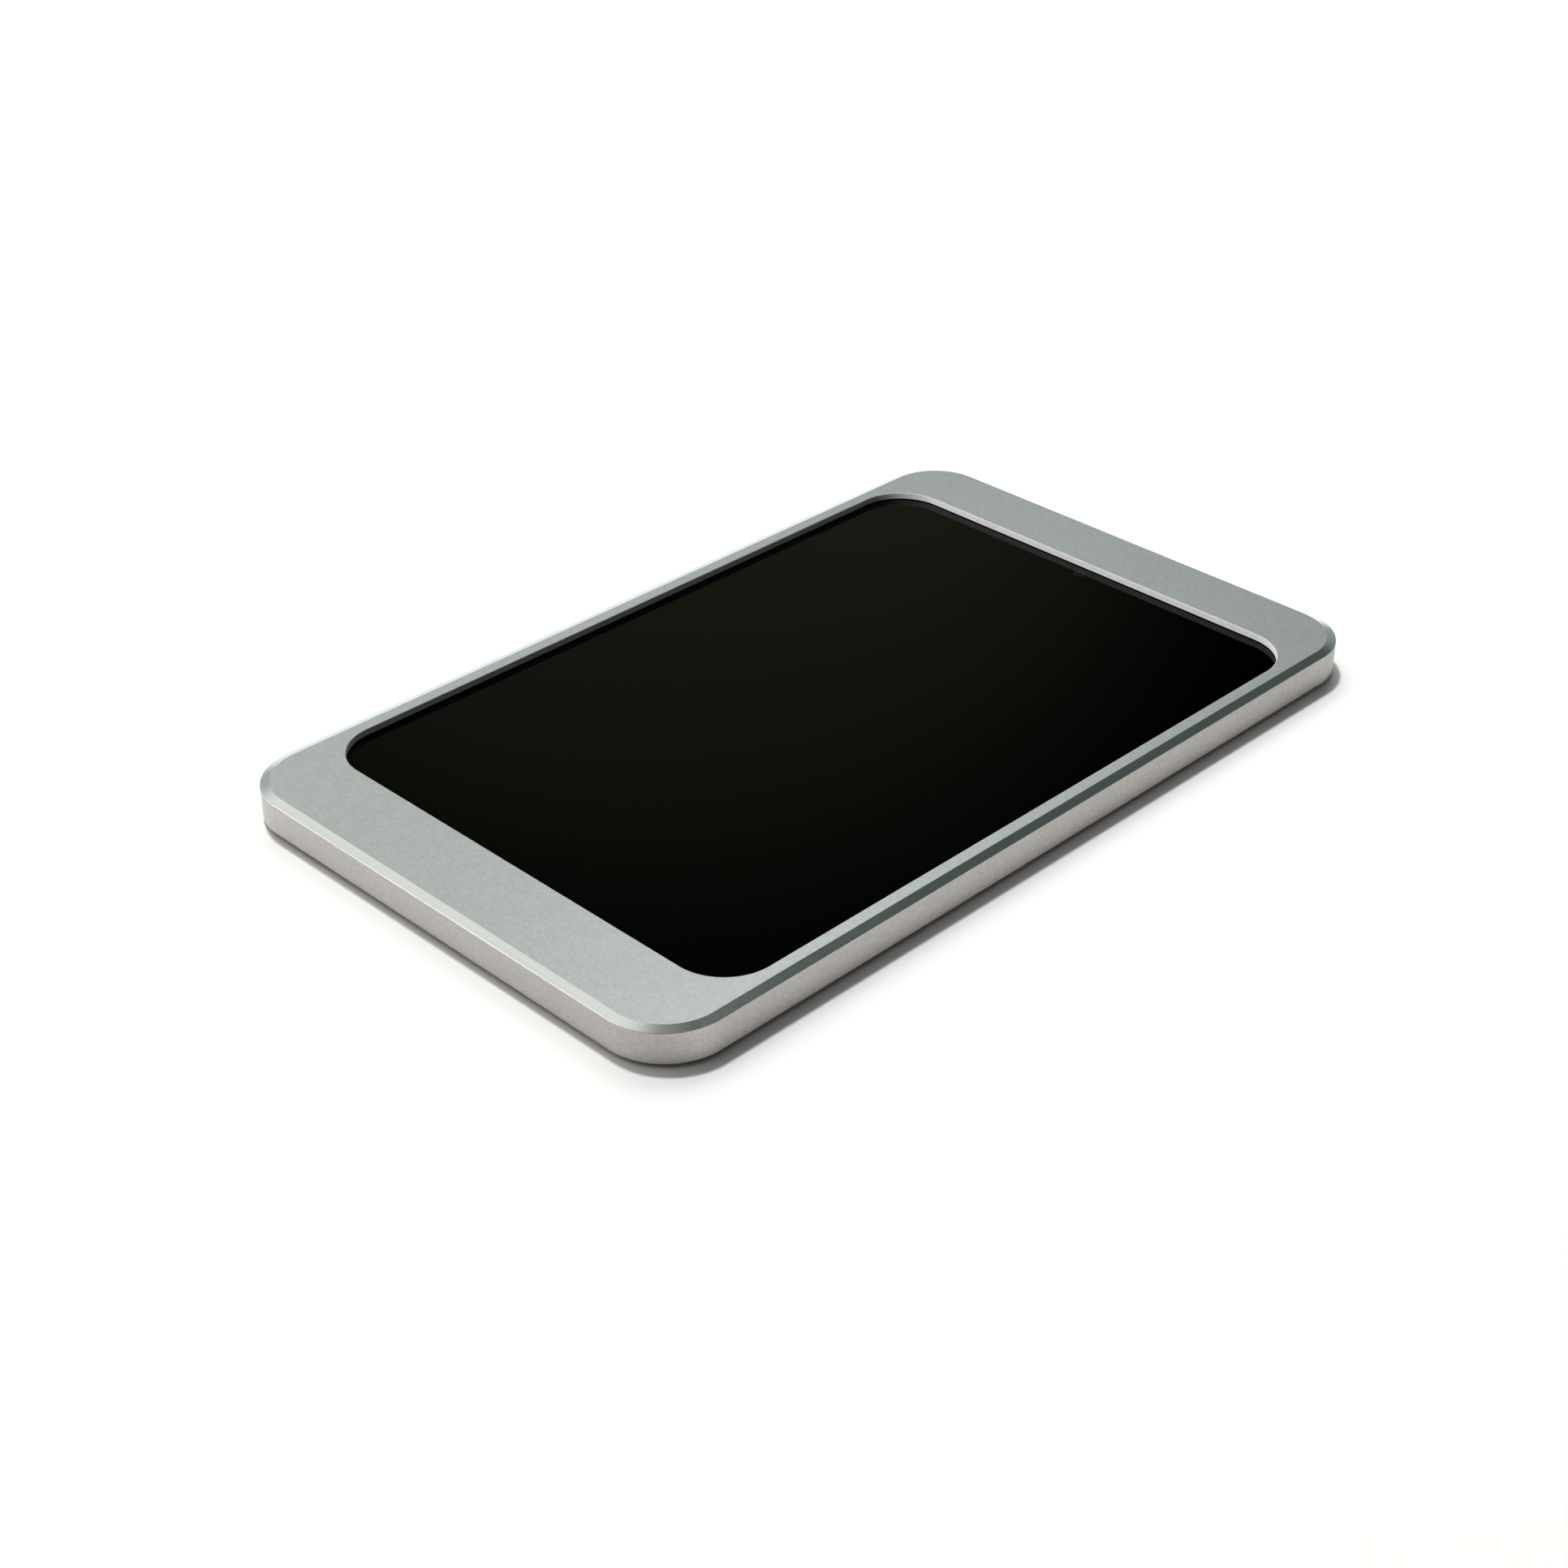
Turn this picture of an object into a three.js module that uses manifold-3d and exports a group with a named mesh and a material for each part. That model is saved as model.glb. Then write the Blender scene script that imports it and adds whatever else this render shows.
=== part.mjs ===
// Tablet computer with an aluminium front housing, lying on its back on four rubber feet.
// Frame: +Z out of the display, +Y towards the short side with the front camera, +X to the right
// seen from the front. Origin: centre of the footprint, at the underside of the feet. Millimetres.

import * as THREE from 'three';
import { mergeVertices } from 'three/addons/utils/BufferGeometryUtils.js';
import Module from 'manifold-3d';

const wasm = await Module();
wasm.setup();

// ---------------------------------------------------------------- driving dimensions

// Aluminium housing
const BODY_WIDTH = 137.4;
const BODY_LENGTH = 227.4;
const BODY_CORNER_RADIUS = 15.4;
const HOUSING_HEIGHT = 8.1;
const FOOT_STANDOFF = 0.9;
const WALL = 1.6;
const LIP_THICKNESS = 1.6;
const CHAMFER_WIDTH = 2.15;
const CHAMFER_DROP = 0.68;
const EDGE_BREAK = 0.2;

// Display opening in the housing's front face
const OPENING_SIDE_MARGIN = 5.1;
const OPENING_NEAR_MARGIN = 20.9;
const OPENING_FAR_MARGIN = 18.7;
const OPENING_CORNER_RADIUS = 12.4;

// Display stack
const GLASS_OVERLAP = 2.2;
const GLASS_THICKNESS = 0.6;
const GASKET_THICKNESS = 0.15;
const GASKET_SETBACK = 0.3;
const BOND_GAP = 0.03;
const VISIBLE_BEZEL = 5.65;
const PANEL_SEAL = 1.5;
const PANEL_FAR_SEAL = 0.6;
const PANEL_LEDGE = 3.2;
const TOUCH_THICKNESS = 0.15;
const PANEL_THICKNESS = 0.45;
const BACKLIGHT_THICKNESS = 0.85;

// Mid frame
const MID_FRAME_THICKNESS = 0.45;
const MID_FRAME_CLEARANCE = 0.3;
const BAND_NOTCH_SETBACK = 4;
const FAR_NOTCH_DEPTH = 14.1;
const RIB_THICKNESS = 0.8;
const FLEX_SLOT_WIDTH = 41;
const FLEX_SLOT_LENGTH = 2;

// Rear cover, its screws and feet
const COVER_THICKNESS = 1.0;
const COVER_CLEARANCE = 0.15;
const STANDOFF_RADIUS = 2.2;
const STANDOFF_WALL_GAP = 1.7;
const STANDOFF_END_GAP = 0.05;
const SCREW_RADIUS = 0.75;
const THREAD_CLEARANCE = 0.05;
const SCREW_HOLE_CLEARANCE = 0.2;
const SCREW_HEAD_RADIUS = 1.5;
const SCREW_HEAD_HEIGHT = 0.5;
const SCREW_HEAD_CLEARANCE = 0.2;
const SCREW_SOCKET_RADIUS = 0.6;
const SCREW_SOCKET_DEPTH = 0.3;
const COUNTERBORE_DEPTH = 0.6;
const SIDE_SCREW_Y = -8;
const FOOT_RADIUS = 6;
const FOOT_RECESS_DEPTH = 0.35;
const FOOT_CLEARANCE = 0.1;
const FOOT_EDGE = 0.35;
const FOOT_INSET_X = 16.7;
const FOOT_INSET_Y = 21.7;

// Side keys: cap, flange behind the wall, dome switch and its board
const KEY_LENGTH = 12;
const KEY_HEIGHT = 2.2;
const KEY_STANDOFF = 0.35;
const KEY_EDGE = 0.15;
const KEY_SLOT_CLEARANCE = 0.2;
const KEY_TRAVEL = 0.4;
const KEY_FLANGE_OVERLAP = 0.8;
const KEY_FLANGE_THICKNESS = 0.7;
const KEY_FLANGE_GAP = 0.1;
const KEY_NUB_RADIUS = 0.8;
const KEY_NUB_HEIGHT = 0.3;
const KEY_FREE_GAP = 0.05;
const SWITCH_PLUNGER = 0.45;
const SWITCH_PLUNGER_RADIUS = 0.7;
const SWITCH_DEPTH = 1.4;
const SWITCH_LENGTH = 4;
const SWITCH_HEIGHT = 2.6;
const SWITCH_BOARD_THICKNESS = 0.5;
const SWITCH_BOARD_HEIGHT = 3;
const SWITCH_BOARD_MARGIN = 3;
const VOLUME_PITCH = 16;
const VOLUME_UP_FROM_FAR = 41.7;
const POWER_FROM_NOTCH = 12;

// Battery
const BATTERY_CHANNEL = 13;
const BATTERY_SIDE_GAP = 0.8;
const BATTERY_SWELL_GAP = 0.2;
const BATTERY_NEAR_INSET = 40.1;
const BATTERY_CORNER_RADIUS = 3;
const BATTERY_EDGE = 0.5;
const PROTECTION_BOARD_WIDTH = 60;
const PROTECTION_BOARD_LENGTH = 4;

// Circuit boards and their chips, under the mid frame
const BOARD_THICKNESS = 0.6;
const BOARD_GAP = 0.05;
const SOLDER_GAP = 0.03;
const MAIN_BOARD_SIDE_INSET = 7.1;
const MAIN_BOARD_LENGTH = 35;
const BOARD_TO_BATTERY = 6;
const DRIVER_BOARD_WIDTH = 90;
const DRIVER_BOARD_LENGTH = 10;
const SHIELD_HEIGHT = 1.3;
const SHIELD_WALL = 0.2;
const SHIELD_CORNER_RADIUS = 1;
const PROCESSOR_SIZE = new THREE.Vector3(14, 14, 0.9);
const MEMORY_SIZE = new THREE.Vector3(11, 10, 0.8);
const STORAGE_SIZE = new THREE.Vector3(13, 11.5, 0.9);
const WIRELESS_SIZE = new THREE.Vector3(8, 8, 0.7);
const PROCESSOR_SHIELD = new THREE.Vector2(31, 18);
const WIRELESS_SHIELD = new THREE.Vector2(13, 13);
const MEMORY_PITCH = 14.5;
const STORAGE_OFFSET_Y = 4;
const PROCESSOR_REACH = 0.62;
const STORAGE_REACH = 0.45;
const WIRELESS_REACH = 0.8;
const FLEX_THICKNESS = 0.12;
const FLEX_GAP = 0.05;
const DISPLAY_FLEX_WIDTH = 40;
const DISPLAY_FLEX_REACH = 3.05;
const CABLE_WIDTH = 10;
const LEAD_WIDTH = 10;
const PORT_FLEX_WIDTH = 8;

// Cameras and light sensor
const FRONT_CAMERA_SIZE = 3.6;
const FRONT_CAMERA_HEIGHT = 0.9;
const FRONT_CAMERA_BARREL = 1.5;
const FRONT_LENS_RADIUS = 1.1;
const FRONT_LENS_THICKNESS = 0.3;
const CAMERA_GAP = 0.2;
const LIGHT_SENSOR_X = 8;
const LIGHT_SENSOR_SIZE = new THREE.Vector3(2, 1.4, 0.55);
const REAR_CAMERA_SIZE = 8.4;
const REAR_CAMERA_FROM_NOTCH = 10;
const REAR_CAMERA_RADIUS = 1;
const REAR_CAMERA_EDGE = 0.3;
const REAR_RING_RADIUS = 5;
const REAR_WINDOW_RADIUS = 3.5;
const REAR_RING_PROUD = 0.3;
const REAR_RING_LEDGE = 0.5;
const RING_CLEARANCE = 0.12;

// Socket, port board and microphones, at the far short side
const SOCKET_WIDTH = 8.94;
const SOCKET_HEIGHT = 3.26;
const SOCKET_DEPTH = 7.35;
const SOCKET_SHEET = 0.3;
const SOCKET_BACK = 0.75;
const SOCKET_SETBACK = 0.3;
const SOCKET_HOLE_CLEARANCE = 0.18;
const TONGUE_WIDTH = 6.69;
const TONGUE_THICKNESS = 0.7;
const TONGUE_LENGTH = 4.5;
const TONGUE_BASE = 1.5;
const TONGUE_CLEARANCE = 0.07;
const PORT_BOARD_WIDTH = 46;
const PORT_BOARD_DEPTH = 9.1;
const PORT_POST_X = 8.5;
const PORT_POST_RADIUS = 1.8;
const PORT_POST_FROM_WALL = 7.5;
const MICROPHONE_X = 19;
const MICROPHONE_SIZE = new THREE.Vector3(3.5, 2.65, 1.0);
const MICROPHONE_HOLE_RADIUS = 0.5;

// Speakers, at the near short side, and their slots through the rear cover
const SPEAKER_INNER_X = 14;
const SPEAKER_SCREW_GAP = 6;
const SPEAKER_GAP = 1.0;
const SPEAKER_WALL_GAP = 0.8;
const SPEAKER_LIP_GAP = 0.4;
const SPEAKER_RECESS = 0.4;
const SPEAKER_RIM = 1.5;
const SPEAKER_CORNER_RADIUS = 2;
const SPEAKER_MESH_THICKNESS = 0.15;
const SPEAKER_SLOT_COUNT = 6;
const SPEAKER_SLOT_WIDTH = 1.0;
const SPEAKER_SLOT_LENGTH = 7;
const SPEAKER_SLOT_PITCH = 2.4;
const SPEAKER_MESH_MARGIN = 1.5;

// Thin sheets on the rear cover's inner face
const SHEET_THICKNESS = 0.1;
const GRAPHITE_INSET = 6;
const ANTENNA_INNER_X = 15;
const ANTENNA_OUTER_INSET = 20;
const ANTENNA_NEAR_INSET = 18.1;
const ANTENNA_LENGTH = 14;
const ANTENNA_CORNER_RADIUS = 1;

// Facets on a quarter turn, how far a cutter runs past what it cuts, and the distances under which
// two points of an outline or of a mesh are one
const CORNER_STEPS = 12;
const SMALL_STEPS = 4;
const ROUND_SIDES = 16;
const CUT = 1;
const SAME_POINT = 1e-6;
const WELD = 1e-5;

// ---------------------------------------------------------------- levels and edges

const halfWidth = BODY_WIDTH / 2;
const halfLength = BODY_LENGTH / 2;
const innerHalfWidth = halfWidth - WALL;
const innerHalfLength = halfLength - WALL;
const innerRadius = BODY_CORNER_RADIUS - WALL;
const housingBottom = FOOT_STANDOFF;
const housingTop = housingBottom + HOUSING_HEIGHT;
const lipUnderside = housingTop - LIP_THICKNESS;
const keyLevel = (housingBottom + housingTop) / 2;

const openingWidth = BODY_WIDTH - 2 * OPENING_SIDE_MARGIN;
const openingNear = -halfLength + OPENING_NEAR_MARGIN;
const openingFar = halfLength - OPENING_FAR_MARGIN;
const openingLength = openingFar - openingNear;
const openingY = (openingFar + openingNear) / 2;

const glassWidth = openingWidth + 2 * GLASS_OVERLAP;
const glassLength = openingLength + 2 * GLASS_OVERLAP;
const glassNear = openingNear - GLASS_OVERLAP;
const glassFar = openingFar + GLASS_OVERLAP;
const glassRadius = OPENING_CORNER_RADIUS + GLASS_OVERLAP;
const gasketTop = lipUnderside - BOND_GAP;
const glassTop = gasketTop - GASKET_THICKNESS - BOND_GAP;
const glassBottom = glassTop - GLASS_THICKNESS;
const touchTop = glassBottom - BOND_GAP;
const panelTop = touchTop - TOUCH_THICKNESS - BOND_GAP;
const backlightTop = panelTop - PANEL_THICKNESS - BOND_GAP;
const midFrameTop = backlightTop - BACKLIGHT_THICKNESS - BOND_GAP;
const midFrameBottom = midFrameTop - MID_FRAME_THICKNESS;

const panelHalfWidth = openingWidth / 2 - VISIBLE_BEZEL + PANEL_SEAL;
const panelNear = openingNear + VISIBLE_BEZEL - PANEL_LEDGE;
const panelFar = openingFar - VISIBLE_BEZEL + PANEL_FAR_SEAL;

const coverTop = housingBottom + COVER_THICKNESS;
const sheetBottom = coverTop + BOND_GAP;
const sheetTop = sheetBottom + SHEET_THICKNESS;
const boardTop = midFrameBottom - BOARD_GAP;
const boardBottom = boardTop - BOARD_THICKNESS;

const cornerScrewReach = (innerRadius - STANDOFF_RADIUS - STANDOFF_WALL_GAP) / Math.SQRT2;
const cornerScrewX = halfWidth - BODY_CORNER_RADIUS + cornerScrewReach;
const cornerScrewY = halfLength - BODY_CORNER_RADIUS + cornerScrewReach;
const sideScrewX = innerHalfWidth - MID_FRAME_CLEARANCE - STANDOFF_RADIUS - COVER_CLEARANCE;
const bandNotchHalf = cornerScrewX - STANDOFF_RADIUS - BAND_NOTCH_SETBACK;
const farNotch = innerHalfLength - FAR_NOTCH_DEPTH;
const nearNotch = glassNear - SPEAKER_GAP / 2;

const flangeDepth = WALL + KEY_FLANGE_GAP;
const nubDepth = flangeDepth + KEY_FLANGE_THICKNESS + KEY_NUB_HEIGHT;
const plungerDepth = nubDepth + KEY_TRAVEL + KEY_FREE_GAP;
const switchDepth = plungerDepth + SWITCH_PLUNGER;
const switchBoardDepth = switchDepth + SWITCH_DEPTH + BOND_GAP;
const keyRibDepth = switchBoardDepth + SWITCH_BOARD_THICKNESS + BOND_GAP;
const keyStackDepth = keyRibDepth + RIB_THICKNESS;
const powerX = bandNotchHalf - POWER_FROM_NOTCH;
const volumeUpY = halfLength - VOLUME_UP_FROM_FAR;
const volumeDownY = volumeUpY - VOLUME_PITCH;
const volumeMidY = (volumeUpY + volumeDownY) / 2;
const powerBoardLength = KEY_LENGTH + SWITCH_BOARD_MARGIN;
const volumeBoardLength = VOLUME_PITCH + KEY_LENGTH + SWITCH_BOARD_MARGIN;

const batteryOuterX = halfWidth - keyStackDepth - BATTERY_SIDE_GAP;
const mainBoardFar = farNotch - BOARD_GAP;
const mainBoardNear = mainBoardFar - MAIN_BOARD_LENGTH;
const batteryFar = mainBoardNear - BOARD_TO_BATTERY;
const batteryNear = -innerHalfLength + BATTERY_NEAR_INSET;

const cornerScrews = [
  { x: cornerScrewX, y: cornerScrewY },
  { x: -cornerScrewX, y: cornerScrewY },
  { x: -cornerScrewX, y: -cornerScrewY },
  { x: cornerScrewX, y: -cornerScrewY },
];
const sideScrews = [
  { x: sideScrewX, y: SIDE_SCREW_Y },
  { x: -sideScrewX, y: SIDE_SCREW_Y },
];

// ---------------------------------------------------------------- shapes

// Rounded rectangle round (x, y) as anticlockwise points, without doubled points on a pill shape.
function roundedOutline({ x = 0, y = 0, width, length, radius, steps = SMALL_STEPS }) {
  const corners = [[1, 1], [-1, 1], [-1, -1], [1, -1]];
  const points = [];
  corners.forEach(([sideX, sideY], quarter) => {
    const centreX = x + sideX * (width / 2 - radius);
    const centreY = y + sideY * (length / 2 - radius);
    for (let step = 0; step <= steps; step += 1) {
      const angle = (quarter + step / steps) * Math.PI / 2;
      const point = new THREE.Vector2(
        centreX + radius * Math.cos(angle),
        centreY + radius * Math.sin(angle),
      );
      if (!points.length || points[points.length - 1].distanceTo(point) > SAME_POINT) {
        points.push(point);
      }
    }
  });
  if (points[0].distanceTo(points[points.length - 1]) < SAME_POINT) {
    points.pop();
  }
  return points;
}

function prism(points, bottom, top) {
  const shape = new THREE.Shape(points);
  const geometry = new THREE.ExtrudeGeometry(shape, { depth: top - bottom, bevelEnabled: false });
  return geometry.translate(0, 0, bottom);
}

function roundedPrism(outline, bottom, top) {
  return prism(roundedOutline(outline), bottom, top);
}

// Closed solid through convex rings that all have the same number of points.
function loft(rings) {
  const count = rings[0].points.length;
  const positions = [];
  const indices = [];
  for (const { points, z } of rings) {
    for (const point of points) {
      positions.push(point.x, point.y, z);
    }
  }
  for (let level = 0; level < rings.length - 1; level += 1) {
    for (let i = 0; i < count; i += 1) {
      const low = level * count + i;
      const lowNext = level * count + (i + 1) % count;
      indices.push(low, lowNext, lowNext + count);
      indices.push(low, lowNext + count, low + count);
    }
  }
  const last = (rings.length - 1) * count;
  for (let i = 1; i < count - 1; i += 1) {
    indices.push(0, i + 1, i);
    indices.push(last, last + i, last + i + 1);
  }
  const geometry = new THREE.BufferGeometry();
  geometry.setAttribute('position', new THREE.Float32BufferAttribute(positions, 3));
  geometry.setIndex(indices);
  return geometry;
}

// Rounded slab whose top and bottom edges are broken by a small chamfer.
function easedSlab({ radius, width, length, ...rest }, bottom, top, edge) {
  const full = roundedOutline({ ...rest, width, length, radius });
  const eased = roundedOutline({
    ...rest, width: width - 2 * edge, length: length - 2 * edge, radius: radius - edge,
  });
  return loft([
    { points: eased, z: bottom },
    { points: full, z: bottom + edge },
    { points: full, z: top - edge },
    { points: eased, z: top },
  ]);
}

function box(x0, x1, y0, y1, z0, z1) {
  const geometry = new THREE.BoxGeometry(x1 - x0, y1 - y0, z1 - z0);
  return geometry.translate((x0 + x1) / 2, (y0 + y1) / 2, (z0 + z1) / 2);
}

function boxAt({ x = 0, y = 0 }, width, length, bottom, top) {
  return box(x - width / 2, x + width / 2, y - length / 2, y + length / 2, bottom, top);
}

function disc({ x = 0, y = 0 }, radius, bottom, top, sides = ROUND_SIDES) {
  const geometry = new THREE.CylinderGeometry(radius, radius, top - bottom, sides);
  return geometry.rotateX(Math.PI / 2).translate(x, y, (bottom + top) / 2);
}

// Turned solid round a vertical axis; the profile is a closed or axis-to-axis list of [r, z].
function turned({ x = 0, y = 0 }, profile, sides = ROUND_SIDES) {
  const points = profile.map(([r, z]) => new THREE.Vector2(r, z));
  return new THREE.LatheGeometry(points, sides).rotateX(Math.PI / 2).translate(x, y, 0);
}

// Flat strip of a given width across X whose mid line follows a path in the YZ plane.
function ribbon(path, x, width) {
  const line = path.getPoints(SMALL_STEPS);
  const left = [];
  const right = [];
  line.forEach((point, i) => {
    const before = line[Math.max(i - 1, 0)];
    const after = line[Math.min(i + 1, line.length - 1)];
    const along = after.clone().sub(before).normalize();
    const across = new THREE.Vector2(-along.y, along.x).multiplyScalar(FLEX_THICKNESS / 2);
    left.push(point.clone().add(across));
    right.unshift(point.clone().sub(across));
  });
  const geometry = prism([...left, ...right], x - width / 2, x + width / 2);
  const axes = new THREE.Matrix4().makeBasis(
    new THREE.Vector3(0, 1, 0), new THREE.Vector3(0, 0, 1), new THREE.Vector3(1, 0, 0),
  );
  return geometry.applyMatrix4(axes);
}

// Pieces in a side wall are drawn with X along the wall, Y up the wall and Z out of its outer
// face, and then turned into place.
function onFarWall(geometry, x, z) {
  return geometry.rotateX(-Math.PI / 2).translate(x, halfLength, z);
}

function onLeftWall(geometry, y, z) {
  return geometry.rotateZ(Math.PI / 2).rotateY(-Math.PI / 2).translate(-halfWidth, y, z);
}

// ---------------------------------------------------------------- booleans

function solid(geometry) {
  if (geometry instanceof wasm.Manifold) {
    return geometry;
  }
  const plain = geometry.clone();
  plain.deleteAttribute('normal');
  plain.deleteAttribute('uv');
  const merged = mergeVertices(plain, WELD);
  return new wasm.Manifold(new wasm.Mesh({
    numProp: 3,
    vertProperties: new Float32Array(merged.attributes.position.array),
    triVerts: new Uint32Array(merged.index.array),
  }));
}

function joined(pieces) {
  return pieces.map(solid).reduce((whole, piece) => whole.add(piece));
}

function cut(body, cutters) {
  return cutters.map(solid).reduce((rest, cutter) => rest.subtract(cutter), solid(body));
}

function toGeometry(shape) {
  if (shape instanceof THREE.BufferGeometry) {
    return shape;
  }
  const { vertProperties, triVerts } = shape.getMesh();
  const geometry = new THREE.BufferGeometry();
  geometry.setAttribute('position', new THREE.BufferAttribute(vertProperties, 3));
  geometry.setIndex(new THREE.BufferAttribute(triVerts, 1));
  return geometry;
}

// ---------------------------------------------------------------- scene graph

const tablet = new THREE.Group();

function finish(color, roughness, metalness = 0) {
  return () => new THREE.MeshStandardMaterial({ color, roughness, metalness });
}

const aluminium = finish(0xaeb6b3, 0.42, 1);
const darkGlass = finish(0x050607, 0.05);
const foam = finish(0x1a1a1a, 0.9);
const film = finish(0x2a3034, 0.2);
const panelGlass = finish(0x0c0e10, 0.15);
const whitePlastic = finish(0xe6e6e2, 0.5);
const magnesium = finish(0x8b8f90, 0.55, 1);
const pouch = finish(0x2b2c2e, 0.55);
const circuitBoard = finish(0x1c4a33, 0.5);
const chip = finish(0x17181a, 0.45);
const steel = finish(0xb9bcbe, 0.35, 1);
const blackPlastic = finish(0x141415, 0.5);
const polyimide = finish(0xb8721f, 0.4);
const copper = finish(0xb87333, 0.35, 1);
const graphite = finish(0x3a3c3e, 0.6);
const coverPlastic = finish(0x202224, 0.6);
const rubber = finish(0x101010, 0.85);

function addPart(name, shape, material) {
  const mesh = new THREE.Mesh(toGeometry(shape), material());
  mesh.name = name;
  tablet.add(mesh);
}

// ---------------------------------------------------------------- housing

function housingBlank() {
  const ring = (inset, z) => ({
    z,
    points: roundedOutline({
      width: BODY_WIDTH - 2 * inset,
      length: BODY_LENGTH - 2 * inset,
      radius: BODY_CORNER_RADIUS - inset,
      steps: CORNER_STEPS,
    }),
  });
  return loft([
    ring(EDGE_BREAK, housingBottom),
    ring(0, housingBottom + EDGE_BREAK),
    ring(0, housingTop - CHAMFER_DROP),
    ring(CHAMFER_WIDTH, housingTop),
  ]);
}

function cavityOutline(inset) {
  return {
    width: 2 * (innerHalfWidth - inset),
    length: 2 * (innerHalfLength - inset),
    radius: innerRadius - inset,
    steps: CORNER_STEPS,
  };
}

function openingOutline(grow) {
  return {
    y: openingY,
    width: openingWidth + 2 * grow,
    length: openingLength + 2 * grow,
    radius: OPENING_CORNER_RADIUS + grow,
    steps: CORNER_STEPS,
  };
}

const portPosts = [-1, 1].map((side) => ({
  x: side * PORT_POST_X,
  y: innerHalfLength - PORT_POST_FROM_WALL,
}));
const portBoardTop = keyLevel - SOCKET_HEIGHT / 2 - SOLDER_GAP;
const microphoneLevel = portBoardTop + SOLDER_GAP + MICROPHONE_SIZE.z / 2;

function keySlot() {
  const width = KEY_LENGTH + 2 * KEY_SLOT_CLEARANCE;
  const length = KEY_HEIGHT + 2 * KEY_SLOT_CLEARANCE;
  return roundedPrism({ width, length, radius: length / 2 }, -WALL - CUT, CUT);
}

function socketHole() {
  const width = SOCKET_WIDTH + 2 * SOCKET_HOLE_CLEARANCE;
  const length = SOCKET_HEIGHT + 2 * SOCKET_HOLE_CLEARANCE;
  return roundedPrism({ width, length, radius: length / 2 }, -WALL - CUT, CUT);
}

function frontHousing() {
  const powerRibDepth = halfLength - keyRibDepth;
  const additions = [
    ...cornerScrews.map((spot) => disc(
      spot, STANDOFF_RADIUS, midFrameTop + STANDOFF_END_GAP, lipUnderside + CUT / 2,
    )),
    ...portPosts.map((spot) => disc(
      spot, PORT_POST_RADIUS, portBoardTop + STANDOFF_END_GAP, lipUnderside + CUT / 2,
    )),
    box(
      powerX - powerBoardLength / 2, powerX + powerBoardLength / 2,
      powerRibDepth - RIB_THICKNESS, powerRibDepth,
      keyLevel - SWITCH_BOARD_HEIGHT / 2, lipUnderside + CUT / 2,
    ),
  ];
  const holes = [
    ...cornerScrews.map((spot) => disc(
      spot, SCREW_RADIUS + THREAD_CLEARANCE, housingBottom - CUT, lipUnderside - LIP_THICKNESS / 4,
    )),
    onFarWall(keySlot(), powerX, keyLevel),
    onLeftWall(keySlot(), volumeUpY, keyLevel),
    onLeftWall(keySlot(), volumeDownY, keyLevel),
    onFarWall(socketHole(), 0, keyLevel),
    ...[-1, 1].map((side) => onFarWall(
      disc({}, MICROPHONE_HOLE_RADIUS, -WALL - CUT, CUT, 2 * SMALL_STEPS),
      side * MICROPHONE_X, microphoneLevel,
    )),
  ];
  const shell = cut(housingBlank(), [
    roundedPrism(cavityOutline(0), housingBottom - CUT, lipUnderside),
    roundedPrism(openingOutline(0), lipUnderside - CUT, housingTop + CUT),
  ]);
  return cut(joined([shell, ...additions]), holes);
}

addPart('front_housing', frontHousing(), aluminium);

// ---------------------------------------------------------------- display

const glassOutline = openingOutline(GLASS_OVERLAP);

function panelSlab(thickness, top) {
  return box(-panelHalfWidth, panelHalfWidth, panelNear, panelFar, top - thickness, top);
}

addPart('glass_gasket', cut(
  roundedPrism(glassOutline, gasketTop - GASKET_THICKNESS, gasketTop),
  [roundedPrism(openingOutline(GASKET_SETBACK), glassTop - CUT, gasketTop + CUT)],
), foam);
addPart('cover_glass', roundedPrism(glassOutline, glassBottom, glassTop), darkGlass);
addPart('touch_sensor', panelSlab(TOUCH_THICKNESS, touchTop), film);
addPart('lcd_panel', panelSlab(PANEL_THICKNESS, panelTop), panelGlass);
addPart('backlight_unit', panelSlab(BACKLIGHT_THICKNESS, backlightTop), whitePlastic);

const driverBoardNear = panelNear + FLEX_GAP;
addPart('display_driver_board', box(
  -DRIVER_BOARD_WIDTH / 2, DRIVER_BOARD_WIDTH / 2,
  driverBoardNear, driverBoardNear + DRIVER_BOARD_LENGTH, boardBottom, boardTop,
), circuitBoard);

// The flex leaves the panel's ledge, turns down through the mid frame's slot and runs back under
// the driver board.
function displayFlex() {
  const start = panelNear - FLEX_GAP;
  const turn = panelNear - DISPLAY_FLEX_REACH;
  const bend = FLEX_SLOT_LENGTH / 2;
  const upper = panelTop - PANEL_THICKNESS / 2;
  const lower = boardBottom - FLEX_GAP - FLEX_THICKNESS / 2;
  const path = new THREE.Path();
  path.moveTo(start, upper);
  path.lineTo(turn + bend, upper);
  path.quadraticCurveTo(turn, upper, turn, upper - bend);
  path.lineTo(turn, lower + bend);
  path.quadraticCurveTo(turn, lower, turn + bend, lower);
  path.lineTo(driverBoardNear + bend, lower);
  return ribbon(path, 0, DISPLAY_FLEX_WIDTH);
}

addPart('display_flex', displayFlex(), polyimide);

const cableTop = boardBottom - FLEX_GAP;
addPart('display_cable', box(
  -CABLE_WIDTH / 2, CABLE_WIDTH / 2,
  driverBoardNear + DRIVER_BOARD_LENGTH / 2, mainBoardNear + CABLE_WIDTH / 2,
  cableTop - FLEX_THICKNESS, cableTop,
), polyimide);

// ---------------------------------------------------------------- mid frame

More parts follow.
